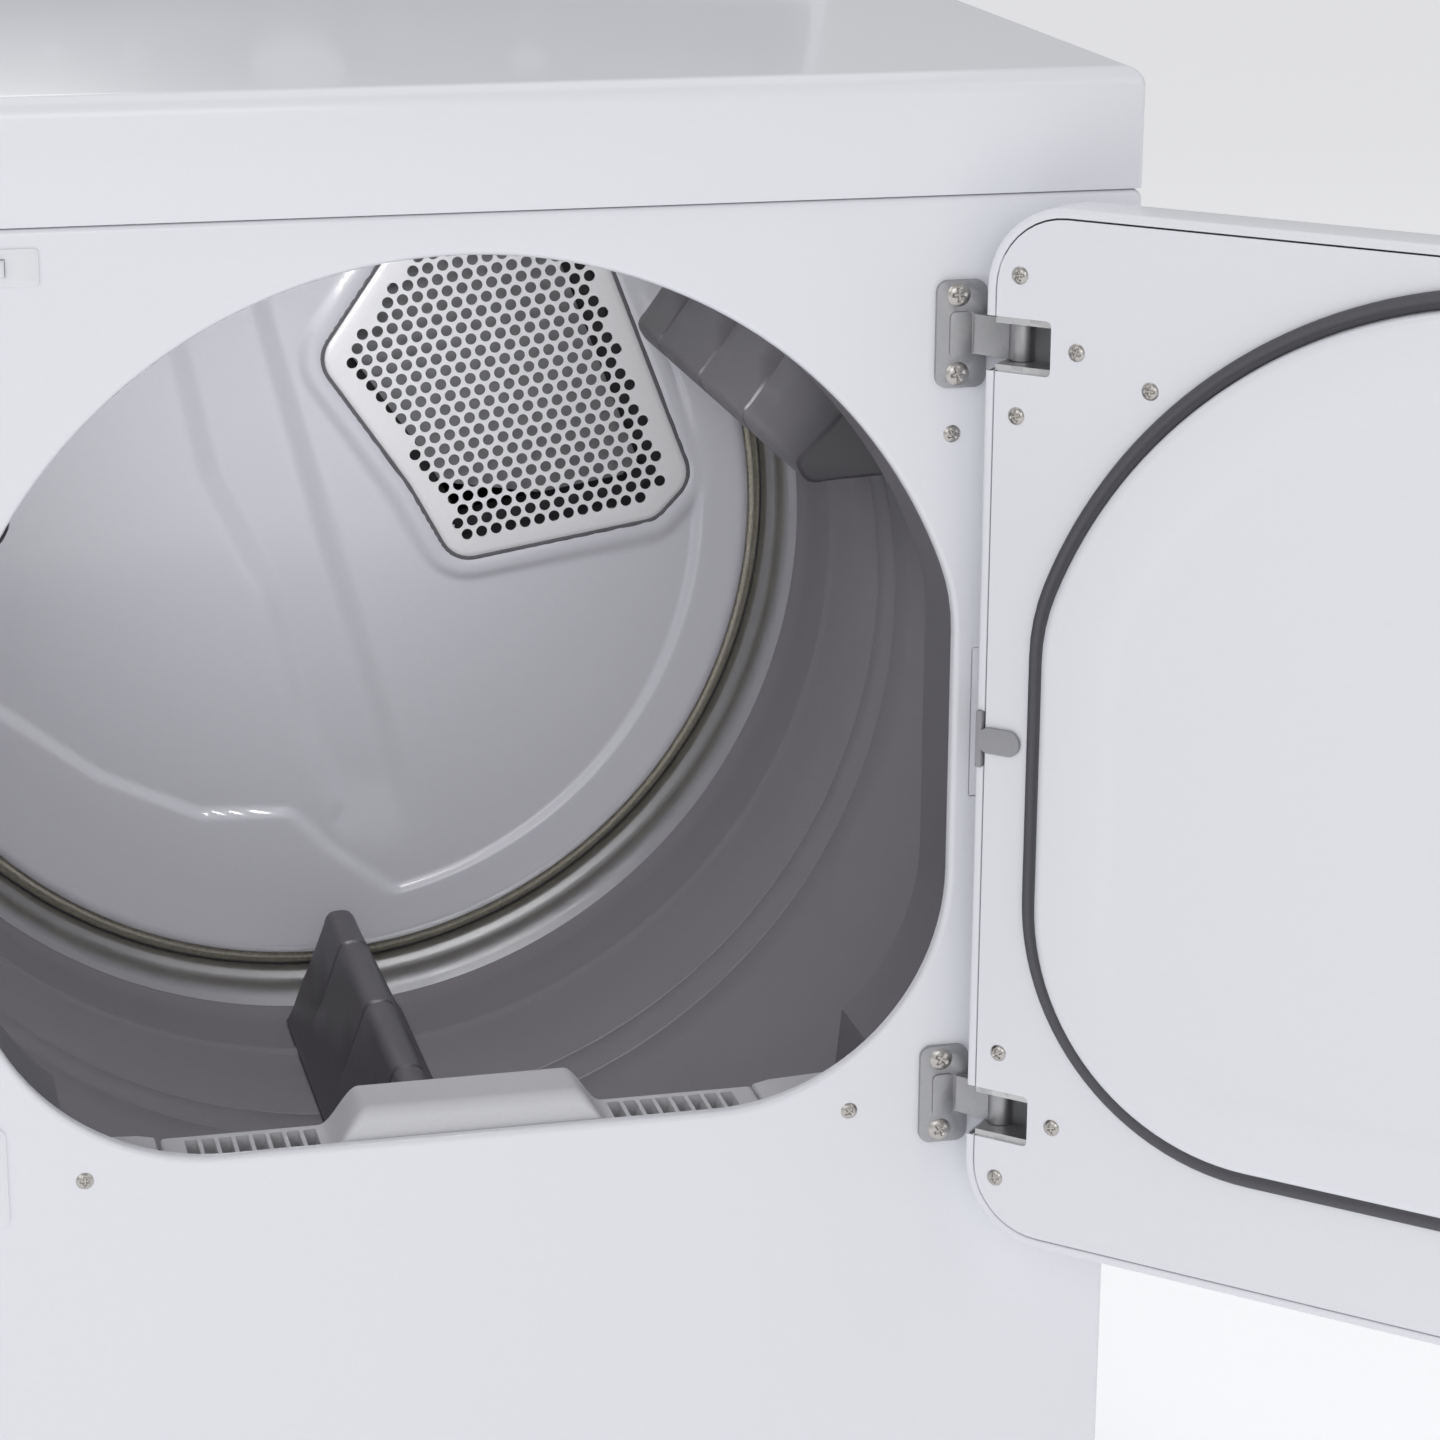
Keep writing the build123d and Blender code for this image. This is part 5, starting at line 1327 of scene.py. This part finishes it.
both = add_node(screw_tree, "FunctionNodeRotateRotation", {0: whole.outputs[0], 1: own.outputs[0]},
                rotation_space="LOCAL")
set_out = add_node(screw_tree, "GeometryNodeInstanceOnPoints", {
    "Points": start.outputs["Geometry"], "Instance": head_info.outputs["Geometry"],
    "Rotation": both.outputs[0]})
end_tree(screw_tree, set_out.outputs[0], start, end)
print("screw tree nodes:", len(screw_tree.nodes))

# %% Screw sets


def screw_mesh(name, places, head, facing, seed):
    """Heads on points, in millimetres, as one mesh."""
    mesh = bpy.data.meshes.new(name)
    mesh.from_pydata([Vector(p) * MM for p in places], [], [])
    thing = link_object(name, mesh)
    return run_tree(thing, screw_tree, Head=head, Facing=math.radians(facing), Seed=seed, Finish=NICKEL)


def screw_piece(name, meshes, body, node):
    """Join screw meshes into one piece."""
    return finish_mesh(joined(name, meshes), name, NICKEL, body, node, 0, 50, 0.001)


small_head = screw_head("small_head", 4.5, 1.6)
large_head = screw_head("large_head", 6.0, 1.6)
closed = [(269.3, z + rise) for z in HINGE_Z for rise in (-34.9, 34.9)] + [(237.8, z) for z in HINGE_Z]
closed += [(sign * 198.3, DOOR_Z + 188.4) for sign in (-1, 1)]
closed += [(-269.3, DOOR_Z + rise) for rise in (-238, -168, 168, 238)]
swing = Matrix.Rotation(math.radians(REST_OPEN), 3, "Z")
hinge = Vector((HINGE_X, HINGE_Y, 0))
door_places = [swing @ (Vector((x, DOOR_IN, z)) - hinge) + hinge for x, z in closed]
door_set = screw_mesh("door_set", door_places, small_head, 180 + REST_OPEN, 3)
screw_piece("door_screw_heads", [door_set], "door", "door_screws")
plate_places = [(247.7, FRONT - 3.0, z + rise) for z in HINGE_Z for rise in (-19.9, 19.9)]
hinge_set = screw_mesh("hinge_set", plate_places, large_head, 0, 11)
screw_piece("hinge_screw_heads", [hinge_set], "cabinet", "hinge_screws")
front_places = [(x, FRONT, z) for x, z in ((198.7, 445), (-198.7, 445), (246.5, 806), (-246.5, 806))]
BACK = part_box("back_panel")[1].y / MM
back_places = [(x, BACK, z) for x in (-332, 332) for z in (90, 350, 620, 890)]
back_places += [(x, BACK + SHEET, 205) for x in (-283, -177)]
sets = [screw_mesh("front_set", front_places, small_head, 0, 5),
        screw_mesh("back_set", back_places, small_head, 180, 7)]
screw_piece("cabinet_screw_heads", sets, "cabinet", "cabinet_screws")
for head in (small_head, large_head):
    bpy.data.objects.remove(head)

# %% [markdown]
# ## Pieces that keep the working model's shape
# Inner machinery and the plain outer sheets already have their real shape, so they keep it and only
# get a finish. The finish is chosen from the material slot that the record gives each node.

# %% Finishes for the carried-over nodes
SLOT_FINISH = {
    "white_steel": ENAMEL, "drum_steel": DRUM, "wall_enamel": WALL, "galvanised": ZINC_SHEET,
    "zinc": CAST_ZINC, "screw_steel": NICKEL, "dark_plastic": LIFTER, "grey_plastic": GREY_GRAIN,
    "white_plastic": WHITE_PLASTIC, "felt": FELT, "seal_rubber": RUBBER, "belt_rubber": BELT,
    "aluminium": PIPE, "motor_steel": MOTOR, "heater_wire": WIRE, "board": BOARD,
}
slot_of = {part["node"]: part["material_slot"] for part in frame["record"]["subparts"]}
for name, thing in frame["nodes"].items():
    thing.data.materials.clear()
    thing.data.materials.append(SLOT_FINISH[slot_of[name]])
print("nodes with a finish:", len(frame["nodes"]))
